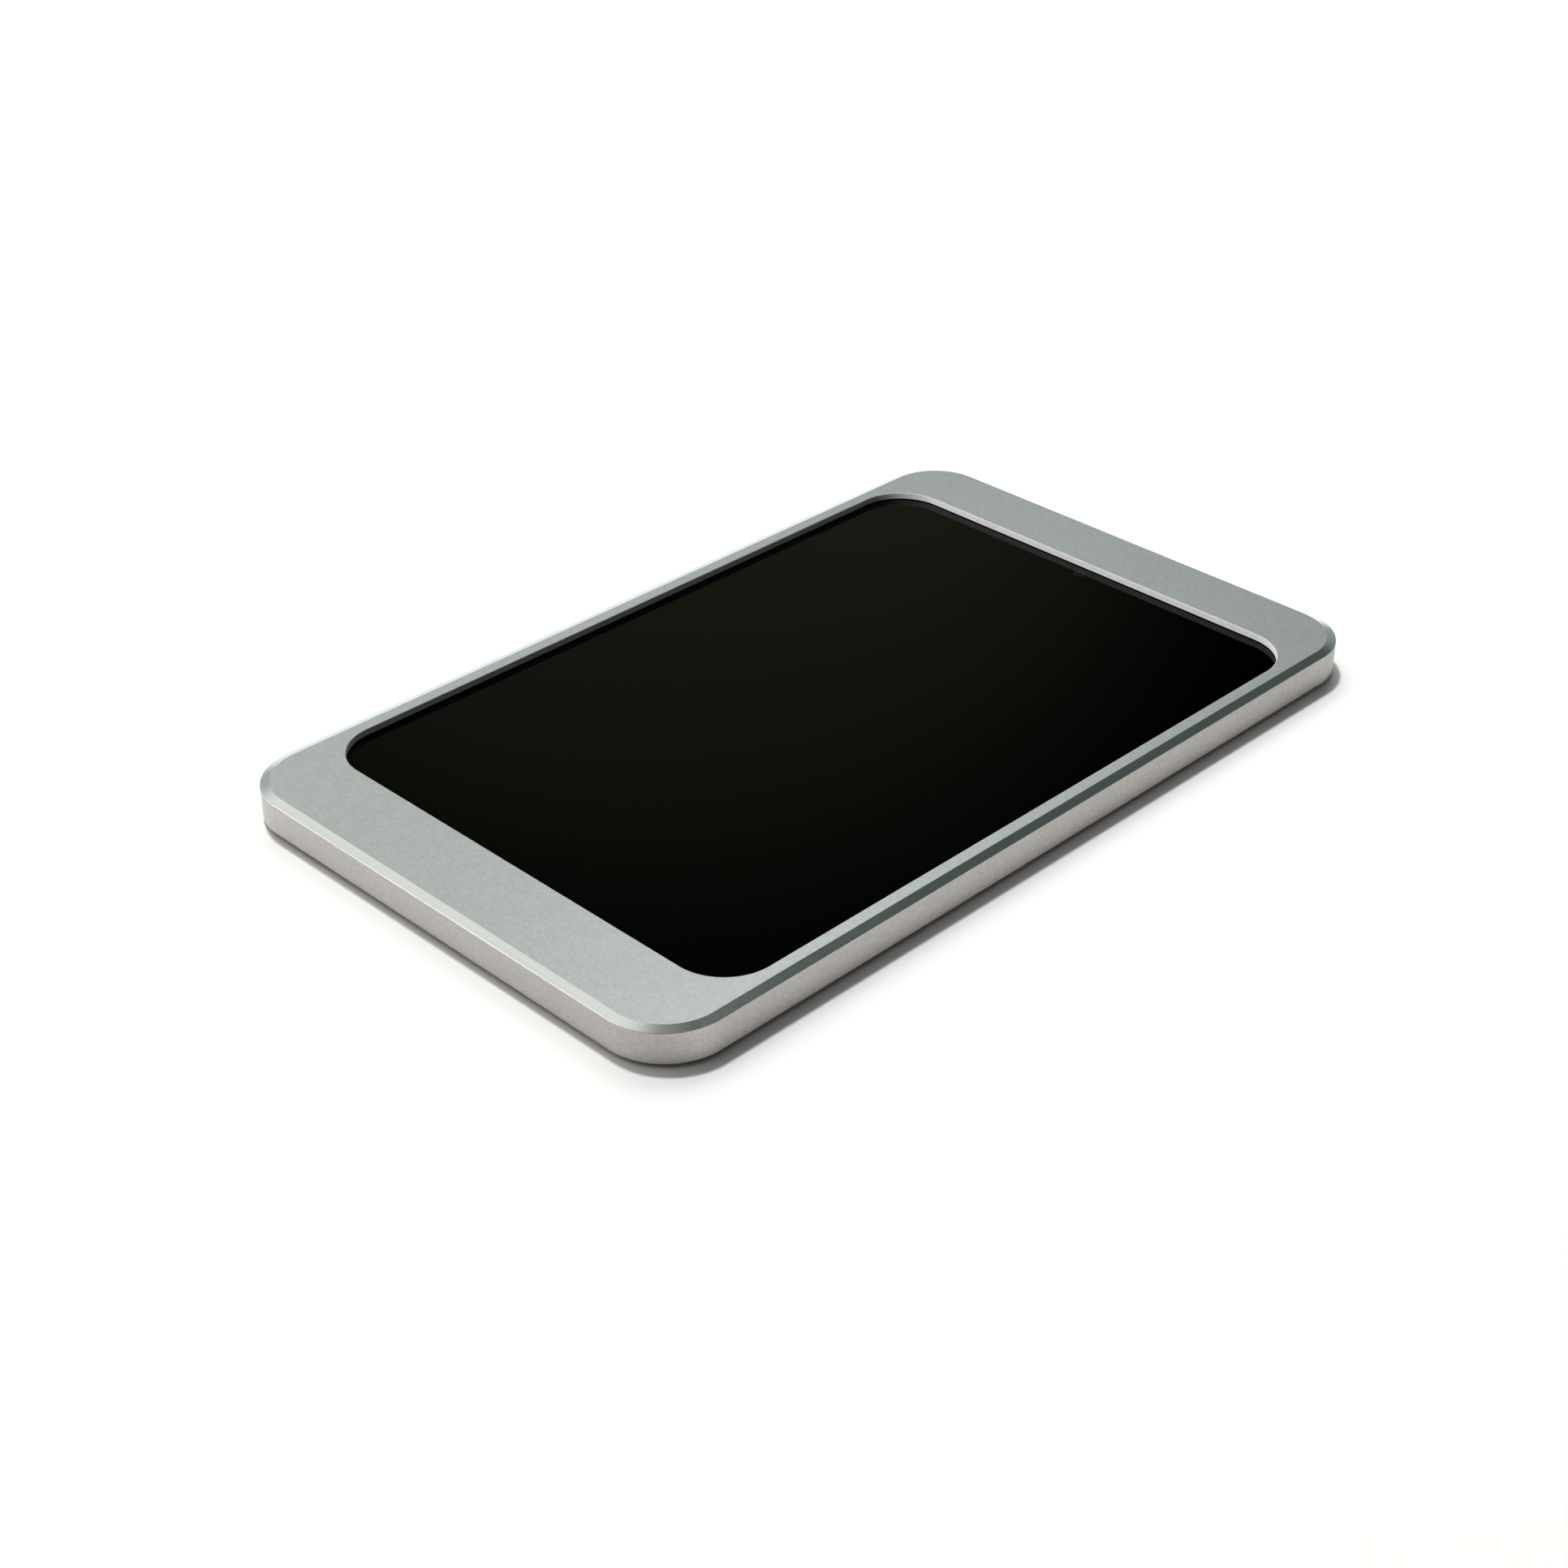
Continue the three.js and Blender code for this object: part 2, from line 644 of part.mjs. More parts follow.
function midFrame() {
  const plate = roundedPrism(cavityOutline(MID_FRAME_CLEARANCE), midFrameBottom, midFrameTop);
  const volumeRibX = -halfWidth + keyRibDepth;
  const notches = [
    box(-bandNotchHalf, bandNotchHalf, farNotch, halfLength, 0, housingTop),
    box(-bandNotchHalf, bandNotchHalf, -halfLength, nearNotch, 0, housingTop),
    box(
      -halfWidth, volumeRibX,
      volumeMidY - volumeBoardLength / 2 - KEY_FLANGE_OVERLAP,
      volumeMidY + volumeBoardLength / 2 + KEY_FLANGE_OVERLAP,
      0, housingTop,
    ),
    boxAt(
      { y: panelNear - DISPLAY_FLEX_REACH }, FLEX_SLOT_WIDTH, FLEX_SLOT_LENGTH, 0, housingTop,
    ),
  ];
  const standoffs = [...cornerScrews, ...sideScrews].map((spot) => disc(
    spot, STANDOFF_RADIUS, coverTop + STANDOFF_END_GAP, midFrameTop,
  ));
  const volumeRib = box(
    volumeRibX, volumeRibX + RIB_THICKNESS,
    volumeMidY - volumeBoardLength / 2, volumeMidY + volumeBoardLength / 2,
    keyLevel - SWITCH_BOARD_HEIGHT / 2, keyLevel + SWITCH_BOARD_HEIGHT / 2,
  );
  const holes = [
    ...cornerScrews.map((spot) => disc(
      spot, SCREW_RADIUS + SCREW_HOLE_CLEARANCE, 0, housingTop,
    )),
    ...sideScrews.map((spot) => disc(spot, SCREW_RADIUS + THREAD_CLEARANCE, 0, housingTop)),
  ];
  return cut(joined([cut(plate, notches), ...standoffs, volumeRib]), holes);
}

addPart('mid_frame', midFrame(), magnesium);

// ---------------------------------------------------------------- battery

const batteryBottom = sheetTop + BATTERY_SWELL_GAP;
const batteryTop = midFrameBottom - BOND_GAP;
const cellWidth = batteryOuterX - BATTERY_CHANNEL / 2;

for (const [name, side] of [['battery_cell_left', -1], ['battery_cell_right', 1]]) {
  addPart(name, easedSlab({
    x: side * (batteryOuterX + BATTERY_CHANNEL / 2) / 2,
    y: (batteryFar + batteryNear) / 2,
    width: cellWidth,
    length: batteryFar - batteryNear,
    radius: BATTERY_CORNER_RADIUS,
  }, batteryBottom, batteryTop, BATTERY_EDGE), pouch);
}

const protectionNear = batteryFar + FLEX_GAP;
const protectionBottom = (batteryBottom + batteryTop) / 2 - BOARD_THICKNESS;
addPart('battery_protection_board', box(
  -PROTECTION_BOARD_WIDTH / 2, PROTECTION_BOARD_WIDTH / 2,
  protectionNear, protectionNear + PROTECTION_BOARD_LENGTH,
  protectionBottom, protectionBottom + BOARD_THICKNESS,
), circuitBoard);

function batteryLead() {
  const low = protectionBottom - FLEX_GAP - FLEX_THICKNESS / 2;
  const high = boardBottom - FLEX_GAP - FLEX_THICKNESS / 2;
  const path = new THREE.Path();
  path.moveTo(protectionNear, low);
  path.lineTo(protectionNear + PROTECTION_BOARD_LENGTH, low);
  path.quadraticCurveTo(mainBoardNear, low, mainBoardNear, (low + high) / 2);
  path.quadraticCurveTo(mainBoardNear, high, mainBoardNear + BOARD_TO_BATTERY / 2, high);
  path.lineTo(mainBoardNear + BOARD_TO_BATTERY, high);
  return ribbon(path, BATTERY_CHANNEL / 2 + LEAD_WIDTH, LEAD_WIDTH);
}

addPart('battery_lead', batteryLead(), polyimide);

// ---------------------------------------------------------------- main board

const mainBoardHalf = innerHalfWidth - MAIN_BOARD_SIDE_INSET;
const mainBoardY = (mainBoardNear + mainBoardFar) / 2;
const chipTop = boardBottom - SOLDER_GAP;

function chipBelow(spot, size) {
  return boxAt(spot, size.x, size.y, chipTop - size.z, chipTop);
}

function shieldBelow(spot, size) {
  const can = (inset) => ({
    ...spot,
    width: size.x - 2 * inset,
    length: size.y - 2 * inset,
    radius: SHIELD_CORNER_RADIUS - inset,
  });
  return cut(
    roundedPrism(can(0), chipTop - SHIELD_HEIGHT, chipTop),
    [roundedPrism(can(SHIELD_WALL), chipTop - SHIELD_HEIGHT + SHIELD_WALL, chipTop + CUT)],
  );
}

addPart('main_board', box(
  -mainBoardHalf, mainBoardHalf, mainBoardNear, mainBoardFar, boardBottom, boardTop,
), circuitBoard);

const processorSpot = { x: -mainBoardHalf * PROCESSOR_REACH, y: mainBoardY };
const memorySpot = { x: processorSpot.x + MEMORY_PITCH, y: mainBoardY };
const storageSpot = { x: mainBoardHalf * STORAGE_REACH, y: mainBoardY + STORAGE_OFFSET_Y };
const wirelessSpot = { x: mainBoardHalf * WIRELESS_REACH, y: mainBoardY };
const processorShieldSpot = { x: (processorSpot.x + memorySpot.x) / 2, y: mainBoardY };
addPart('processor', chipBelow(processorSpot, PROCESSOR_SIZE), chip);
addPart('memory_chip', chipBelow(memorySpot, MEMORY_SIZE), chip);
addPart('storage_chip', chipBelow(storageSpot, STORAGE_SIZE), chip);
addPart('wireless_chip', chipBelow(wirelessSpot, WIRELESS_SIZE), chip);
addPart('processor_shield', shieldBelow(processorShieldSpot, PROCESSOR_SHIELD), steel);
addPart('wireless_shield', shieldBelow(wirelessSpot, WIRELESS_SHIELD), steel);

// ---------------------------------------------------------------- cameras and light sensor

const frontCamera = { x: 0, y: panelFar + CAMERA_GAP + FRONT_CAMERA_SIZE / 2 };
const frontCameraTop = glassBottom - FLEX_GAP;
const frontCameraBottom = midFrameTop + BOND_GAP;
const frontLensTop = frontCameraTop - FLEX_GAP;
const frontLensBottom = frontLensTop - FRONT_LENS_THICKNESS;

addPart('front_camera', cut(joined([
  boxAt(
    frontCamera, FRONT_CAMERA_SIZE, FRONT_CAMERA_SIZE,
    frontCameraBottom, frontCameraBottom + FRONT_CAMERA_HEIGHT,
  ),
  disc(frontCamera, FRONT_CAMERA_BARREL, frontCameraBottom, frontCameraTop),
]), [
  disc(frontCamera, FRONT_LENS_RADIUS + FLEX_GAP, frontLensBottom - FLEX_GAP, glassBottom),
]), blackPlastic);
addPart('front_camera_lens', turned(frontCamera, [
  [0, frontLensBottom],
  [FRONT_LENS_RADIUS, frontLensBottom],
  [FRONT_LENS_RADIUS, frontLensBottom + FRONT_LENS_THICKNESS / 2],
  [FRONT_LENS_RADIUS / 2, frontLensTop - FLEX_GAP / 2],
  [0, frontLensTop],
]), darkGlass);
addPart('light_sensor', boxAt(
  { x: LIGHT_SENSOR_X, y: frontCamera.y }, LIGHT_SENSOR_SIZE.x, LIGHT_SENSOR_SIZE.y,
  touchTop - LIGHT_SENSOR_SIZE.z, touchTop,
), chip);

const rearCamera = {
  x: -(bandNotchHalf - REAR_CAMERA_FROM_NOTCH),
  y: (glassFar + innerHalfLength) / 2,
};
const ringBottom = housingBottom - REAR_RING_PROUD;
const ringLedge = coverTop - REAR_RING_LEDGE;
const windowTop = ringLedge - BOND_GAP;
addPart('rear_camera', easedSlab({
  ...rearCamera, width: REAR_CAMERA_SIZE, length: REAR_CAMERA_SIZE, radius: REAR_CAMERA_RADIUS,
}, sheetTop, lipUnderside - REAR_RING_LEDGE, REAR_CAMERA_EDGE), blackPlastic);
addPart('rear_camera_ring', turned(rearCamera, [
  [REAR_WINDOW_RADIUS + FLEX_GAP, ringBottom],
  [REAR_RING_RADIUS - REAR_RING_PROUD, ringBottom],
  [REAR_RING_RADIUS, ringBottom + REAR_RING_PROUD],
  [REAR_RING_RADIUS, coverTop],
  [REAR_WINDOW_RADIUS - REAR_RING_LEDGE, coverTop],
  [REAR_WINDOW_RADIUS - REAR_RING_LEDGE, ringLedge],
  [REAR_WINDOW_RADIUS + FLEX_GAP, ringLedge],
  [REAR_WINDOW_RADIUS + FLEX_GAP, ringBottom],
], 2 * ROUND_SIDES), aluminium);
addPart('rear_camera_window', disc(
  rearCamera, REAR_WINDOW_RADIUS, ringBottom + FLEX_GAP, windowTop, 2 * ROUND_SIDES,
), darkGlass);

// ---------------------------------------------------------------- socket and port board

function pill(width, length, bottom, top) {
  return roundedPrism({ width, length, radius: length / 2, steps: 2 * SMALL_STEPS }, bottom, top);
}

const socketFront = -SOCKET_SETBACK;
const socketEnd = socketFront - SOCKET_DEPTH;
const socketFloor = socketEnd + SOCKET_BACK;
const socketInnerWidth = SOCKET_WIDTH - 2 * SOCKET_SHEET;
const socketInnerHeight = SOCKET_HEIGHT - 2 * SOCKET_SHEET;

addPart('usb_socket_shell', cut(
  onFarWall(pill(SOCKET_WIDTH, SOCKET_HEIGHT, socketEnd, socketFront), 0, keyLevel),
  [onFarWall(pill(socketInnerWidth, socketInnerHeight, socketFloor, CUT), 0, keyLevel)],
), steel);
addPart('usb_socket_tongue', onFarWall(toGeometry(joined([
  pill(
    socketInnerWidth - 2 * TONGUE_CLEARANCE, socketInnerHeight - 2 * TONGUE_CLEARANCE,
    socketFloor + TONGUE_CLEARANCE, socketFloor + TONGUE_BASE,
  ),
  boxAt(
    {}, TONGUE_WIDTH, TONGUE_THICKNESS,
    socketFloor + TONGUE_BASE / 2, socketFloor + TONGUE_BASE + TONGUE_LENGTH,
  ),
])), 0, keyLevel), blackPlastic);

const portBoardNear = innerHalfLength - FLEX_GAP - PORT_BOARD_DEPTH;
const portBoardBottom = portBoardTop - BOARD_THICKNESS;
addPart('port_board', box(
  -PORT_BOARD_WIDTH / 2, PORT_BOARD_WIDTH / 2,
  portBoardNear, portBoardNear + PORT_BOARD_DEPTH - SPEAKER_LIP_GAP,
  portBoardBottom, portBoardTop,
), circuitBoard);

function portFlex() {
  const low = portBoardBottom - FLEX_GAP - FLEX_THICKNESS / 2;
  const high = boardBottom - FLEX_GAP - FLEX_THICKNESS / 2;
  const middle = (portBoardNear + mainBoardFar) / 2;
  const path = new THREE.Path();
  path.moveTo(mainBoardFar - PORT_FLEX_WIDTH / 2, high);
  path.lineTo(mainBoardFar, high);
  path.quadraticCurveTo(middle, high, middle, (low + high) / 2);
  path.quadraticCurveTo(middle, low, portBoardNear, low);
  path.lineTo(portBoardNear + PORT_FLEX_WIDTH / 2, low);
  return ribbon(path, 0, PORT_FLEX_WIDTH);
}

addPart('port_flex', portFlex(), polyimide);

for (const [name, side] of [['microphone_left', -1], ['microphone_right', 1]]) {
  addPart(name, boxAt(
    { x: side * MICROPHONE_X, y: innerHalfLength - SPEAKER_LIP_GAP - MICROPHONE_SIZE.y / 2 },
    MICROPHONE_SIZE.x, MICROPHONE_SIZE.y,
    portBoardTop + SOLDER_GAP, portBoardTop + SOLDER_GAP + MICROPHONE_SIZE.z,
  ), steel);
}

// ---------------------------------------------------------------- speakers

const speakerOuterX = cornerScrewX - STANDOFF_RADIUS - SPEAKER_SCREW_GAP;
const speakerNear = -innerHalfLength + SPEAKER_WALL_GAP;
const speakerFar = glassNear - SPEAKER_GAP;
const speakerWidth = speakerOuterX - SPEAKER_INNER_X;
const speakerY = (speakerNear + speakerFar) / 2;
const speakerX = (speakerOuterX + SPEAKER_INNER_X) / 2;
const meshTop = sheetBottom + SPEAKER_MESH_THICKNESS;
const speakerBottom = meshTop + BOND_GAP;
const slotsWidth = (SPEAKER_SLOT_COUNT - 1) * SPEAKER_SLOT_PITCH + SPEAKER_SLOT_WIDTH;

for (const [suffix, side] of [['left', -1], ['right', 1]]) {
  const spot = { x: side * speakerX, y: speakerY };
  const length = speakerFar - speakerNear;
  addPart(`speaker_${suffix}`, cut(
    easedSlab(
      { ...spot, width: speakerWidth, length, radius: SPEAKER_CORNER_RADIUS },
      speakerBottom, lipUnderside - SPEAKER_LIP_GAP, SPEAKER_LIP_GAP,
    ),
    [roundedPrism({
      ...spot,
      width: slotsWidth + SPEAKER_RIM,
      length: length - 2 * SPEAKER_RIM,
      radius: SPEAKER_CORNER_RADIUS,
    }, speakerBottom - CUT, speakerBottom + SPEAKER_RECESS)],
  ), blackPlastic);
  addPart(`speaker_mesh_${suffix}`, roundedPrism({
    ...spot,
    width: slotsWidth + 2 * SPEAKER_MESH_MARGIN,
    length: SPEAKER_SLOT_LENGTH + 2 * SPEAKER_MESH_MARGIN,
    radius: SPEAKER_MESH_MARGIN,
  }, sheetBottom, meshTop), steel);
}

// ---------------------------------------------------------------- side keys

// Cap, retaining flange and nub, drawn with the wall's outer face at zero.
function sideKey() {
  const radius = KEY_HEIGHT / 2;
  const cap = easedSlab(
    { width: KEY_LENGTH, length: KEY_HEIGHT, radius },
    -flangeDepth - KEY_FLANGE_THICKNESS / 2, KEY_STANDOFF, KEY_EDGE,
  );
  const flange = roundedPrism({
    width: KEY_LENGTH + 2 * KEY_FLANGE_OVERLAP,
    length: KEY_HEIGHT + 2 * KEY_FLANGE_OVERLAP,
    radius: KEY_FLANGE_OVERLAP,
  }, -flangeDepth - KEY_FLANGE_THICKNESS, -flangeDepth);
  const nub = disc({}, KEY_NUB_RADIUS, -nubDepth, -flangeDepth - KEY_FLANGE_THICKNESS / 2);
  return toGeometry(joined([cap, flange, nub]));
}

function domeSwitch() {
  return toGeometry(joined([
    boxAt({}, SWITCH_LENGTH, SWITCH_HEIGHT, -switchDepth - SWITCH_DEPTH, -switchDepth),
    disc({}, SWITCH_PLUNGER_RADIUS, -switchDepth - SWITCH_DEPTH / 2, -plungerDepth),
  ]));
}

function switchBoard(length) {
  return boxAt(
    {}, length, SWITCH_BOARD_HEIGHT, -switchBoardDepth - SWITCH_BOARD_THICKNESS, -switchBoardDepth,
  );
}

addPart('power_button', onFarWall(sideKey(), powerX, keyLevel), aluminium);
addPart('power_switch', onFarWall(domeSwitch(), powerX, keyLevel), steel);
addPart('power_switch_board', onFarWall(switchBoard(powerBoardLength), powerX, keyLevel), polyimide);
for (const [name, y] of [['volume_up', volumeUpY], ['volume_down', volumeDownY]]) {
  addPart(`${name}_button`, onLeftWall(sideKey(), y, keyLevel), aluminium);
  addPart(`${name}_switch`, onLeftWall(domeSwitch(), y, keyLevel), steel);
}
addPart(
  'volume_switch_board',
  onLeftWall(switchBoard(volumeBoardLength), volumeMidY, keyLevel),
  polyimide,
);

// ---------------------------------------------------------------- sheets on the rear cover

addPart('graphite_sheet', box(
  -batteryOuterX + GRAPHITE_INSET, batteryOuterX - GRAPHITE_INSET,
  batteryNear, mainBoardFar, sheetBottom, sheetTop,
), graphite);

const antennaNear = -innerHalfLength + ANTENNA_NEAR_INSET;
for (const [name, side] of [['antenna_left', -1], ['antenna_right', 1]]) {
  const outer = innerHalfWidth - ANTENNA_OUTER_INSET;
  addPart(name, roundedPrism({
    x: side * (ANTENNA_INNER_X + outer) / 2,
    y: antennaNear + ANTENNA_LENGTH / 2,
    width: outer - ANTENNA_INNER_X,
    length: ANTENNA_LENGTH,
    radius: ANTENNA_CORNER_RADIUS,
  }, sheetBottom, sheetTop), copper);
}

// ---------------------------------------------------------------- rear cover, screws and feet

const feet = [[1, 1], [-1, 1], [-1, -1], [1, -1]].map(([sideX, sideY]) => ({
  x: sideX * (halfWidth - FOOT_INSET_X),
  y: sideY * (halfLength - FOOT_INSET_Y),
}));
const footTop = housingBottom + FOOT_RECESS_DEPTH - BOND_GAP;

function speakerSlots() {
  const slots = [];
  for (const side of [-1, 1]) {
    for (let i = 0; i < SPEAKER_SLOT_COUNT; i += 1) {
      slots.push(roundedPrism({
        x: side * speakerX + (i - (SPEAKER_SLOT_COUNT - 1) / 2) * SPEAKER_SLOT_PITCH,
        y: speakerY,
        width: SPEAKER_SLOT_WIDTH,
        length: SPEAKER_SLOT_LENGTH,
        radius: SPEAKER_SLOT_WIDTH / 2,
      }, 0, coverTop + CUT));
    }
  }
  return slots;
}

function rearCover() {
  const plate = roundedPrism(cavityOutline(COVER_CLEARANCE), housingBottom, coverTop);
  const pads = portPosts.map((spot) => disc(
    spot, PORT_POST_RADIUS, coverTop - COVER_THICKNESS / 2, portBoardBottom - STANDOFF_END_GAP,
  ));
  const screwHoles = [...cornerScrews, ...sideScrews].flatMap((spot) => [
    disc(spot, SCREW_RADIUS + SCREW_HOLE_CLEARANCE, 0, coverTop + CUT),
    disc(
      spot, SCREW_HEAD_RADIUS + SCREW_HEAD_CLEARANCE, 0, housingBottom + COUNTERBORE_DEPTH,
    ),
  ]);
  return cut(joined([plate, ...pads]), [
    ...screwHoles,
    ...speakerSlots(),
    ...feet.map((spot) => disc(
      spot, FOOT_RADIUS + FOOT_CLEARANCE, 0, housingBottom + FOOT_RECESS_DEPTH, 2 * ROUND_SIDES,
    )),
    disc(rearCamera, REAR_RING_RADIUS + RING_CLEARANCE, 0, coverTop + CUT, 2 * ROUND_SIDES),
  ]);
}

addPart('rear_cover', rearCover(), coverPlastic);

function coverScrew(spot, tip) {
  const headTop = housingBottom + COUNTERBORE_DEPTH - BOND_GAP;
  const headBottom = headTop - SCREW_HEAD_HEIGHT;
  const socketTop = headBottom + SCREW_SOCKET_DEPTH;
  return turned(spot, [
    [0, socketTop],
    [SCREW_SOCKET_RADIUS, socketTop],
    [SCREW_SOCKET_RADIUS, headBottom],
    [SCREW_HEAD_RADIUS, headBottom],
    [SCREW_HEAD_RADIUS, headTop],
    [SCREW_RADIUS, headTop],
    [SCREW_RADIUS, tip - SCREW_RADIUS / 2],
    [SCREW_RADIUS / 2, tip],
    [0, tip],
  ], ROUND_SIDES);
}

const cornerTip = lipUnderside - LIP_THICKNESS / 4 - SCREW_HOLE_CLEARANCE;
const sideTip = midFrameTop - SCREW_HOLE_CLEARANCE;
[
  ...cornerScrews.map((spot) => coverScrew(spot, cornerTip)),
  ...sideScrews.map((spot) => coverScrew(spot, sideTip)),
].forEach((screw, i) => addPart(`cover_screw_${i + 1}`, screw, steel));

feet.forEach((spot, i) => addPart(`foot_${i + 1}`, turned(spot, [
  [0, 0],
  [FOOT_RADIUS - FOOT_EDGE, 0],
  [FOOT_RADIUS - FOOT_EDGE * (1 - Math.SQRT1_2), FOOT_EDGE * (1 - Math.SQRT1_2)],
  [FOOT_RADIUS, FOOT_EDGE],
  [FOOT_RADIUS, footTop],
  [0, footTop],
], 2 * ROUND_SIDES), rubber));

export default tablet;
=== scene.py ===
"""Looks of a tablet computer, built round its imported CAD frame.

Metres, +Z out of the display, +Y towards the front camera.
"""

import math

import bmesh
import bpy
from mathutils import Matrix, Vector


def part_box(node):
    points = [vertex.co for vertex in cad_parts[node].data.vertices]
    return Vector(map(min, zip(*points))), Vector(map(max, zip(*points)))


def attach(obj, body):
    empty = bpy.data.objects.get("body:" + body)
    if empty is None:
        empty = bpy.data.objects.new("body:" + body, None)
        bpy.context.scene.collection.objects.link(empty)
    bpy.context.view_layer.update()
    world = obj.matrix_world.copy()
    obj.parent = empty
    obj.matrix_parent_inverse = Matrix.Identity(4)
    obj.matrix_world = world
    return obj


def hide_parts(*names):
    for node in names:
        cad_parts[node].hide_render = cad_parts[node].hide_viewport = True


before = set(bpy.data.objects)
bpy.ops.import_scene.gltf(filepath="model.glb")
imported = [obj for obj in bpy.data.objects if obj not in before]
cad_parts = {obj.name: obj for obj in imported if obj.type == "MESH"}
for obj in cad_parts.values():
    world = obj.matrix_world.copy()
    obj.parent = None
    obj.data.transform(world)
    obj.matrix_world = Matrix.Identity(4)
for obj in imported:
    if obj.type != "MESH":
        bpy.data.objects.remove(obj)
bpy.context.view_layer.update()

MM = 0.001

# ---------------------------------------------------------------- sizes

shell_low, shell_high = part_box("front_housing")
glass_low, glass_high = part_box("cover_glass")
panel_low, panel_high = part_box("lcd_panel")
_, cover_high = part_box("rear_cover")
camera_low, camera_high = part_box("front_camera")
sensor_low, sensor_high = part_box("light_sensor")
ring_low, ring_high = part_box("rear_camera_ring")
window_low, window_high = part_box("rear_camera_window")
socket_low, socket_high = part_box("usb_socket_shell")
tongue_low, tongue_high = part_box("usb_socket_tongue")
_, frame_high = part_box("mid_frame")

HALF_X, HALF_Y = shell_high.x, shell_high.y
BOTTOM, TOP = shell_low.z, shell_high.z
KEY_LEVEL = (BOTTOM + TOP) / 2
CORNER_RADIUS = 15.4 * MM
WALL = 1.6 * MM
LIP_THICKNESS = 1.6 * MM
LIP_UNDERSIDE = TOP - LIP_THICKNESS
CHAMFER_WIDTH = 2.15 * MM
CHAMFER_DROP = 0.68 * MM
GLASS_OVERLAP = 2.2 * MM
OPENING_RADIUS = 12.4 * MM
COVER_THICKNESS = 1.0 * MM
KEY_LENGTH = 12 * MM
KEY_HEIGHT = 2.2 * MM
KEY_STANDOFF = 0.35 * MM
SLOT_CLEARANCE = 0.2 * MM
SPEAKER_SLOTS = 6
SPEAKER_PITCH = 2.4 * MM
SLEEVE_RADIUS = 2.2 * MM
SLEEVE_BORE = 0.8 * MM
PORT_POST_RADIUS = 1.8 * MM
SCREW_SEAT_RADIUS = 1.7 * MM
SCREW_HOLE_RADIUS = 0.95 * MM
SCREW_HEAD_RADIUS = 1.5 * MM
SCREW_SHAFT_RADIUS = 0.75 * MM
FOOT_RECESS = 0.35 * MM
CONTACTS = 12
CONTACT_PITCH = 0.5 * MM

ARC_STEPS = 28
ROUND_STEPS = 64
WELD = 1e-7
HAIR = 1e-6  # keeps a half-round end from closing to one point


def spot_of(node):
    """Middle of a CAD node's box, seen from above."""
    low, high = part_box(node)
    return (low.x + high.x) / 2, (low.y + high.y) / 2


# ---------------------------------------------------------------- mesh tools


def outline(half_x, half_y, radius, centre=(0, 0), steps=ARC_STEPS):
    """Rounded rectangle as anticlockwise points, the same number for every size."""
    points = []
    for quarter, (side_x, side_y) in enumerate(((1, 1), (-1, 1), (-1, -1), (1, -1))):
        for step in range(steps + 1):
            angle = (quarter + step / steps) * math.pi / 2
            points.append(
                (
                    centre[0] + side_x * (half_x - radius) + radius * math.cos(angle),
                    centre[1] + side_y * (half_y - radius) + radius * math.sin(angle),
                )
            )
    return points


def eased(points, radii, steps=4):
    """A bent line of 2-D points with an arc of each radius at its inner corners."""
    line = [Vector(points[0])]
    for before, corner, after, radius in zip(points, points[1:], points[2:], radii):
        corner = Vector(corner)
        back = (Vector(before) - corner).normalized()
        on = (Vector(after) - corner).normalized()
        half = back.angle(on) / 2
        if radius == 0:
            line.append(corner)
            continue
        centre = corner + (back + on).normalized() * radius / math.sin(half)
        start = corner + back * radius / math.tan(half) - centre
        end = corner + on * radius / math.tan(half) - centre
        whole = start.angle(end)
        for step in range(steps + 1):
            share = step / steps
            arm = start * math.sin((1 - share) * whole) + end * math.sin(share * whole)
            line.append(centre + arm / math.sin(whole))
    line.append(Vector(points[-1]))
    return line


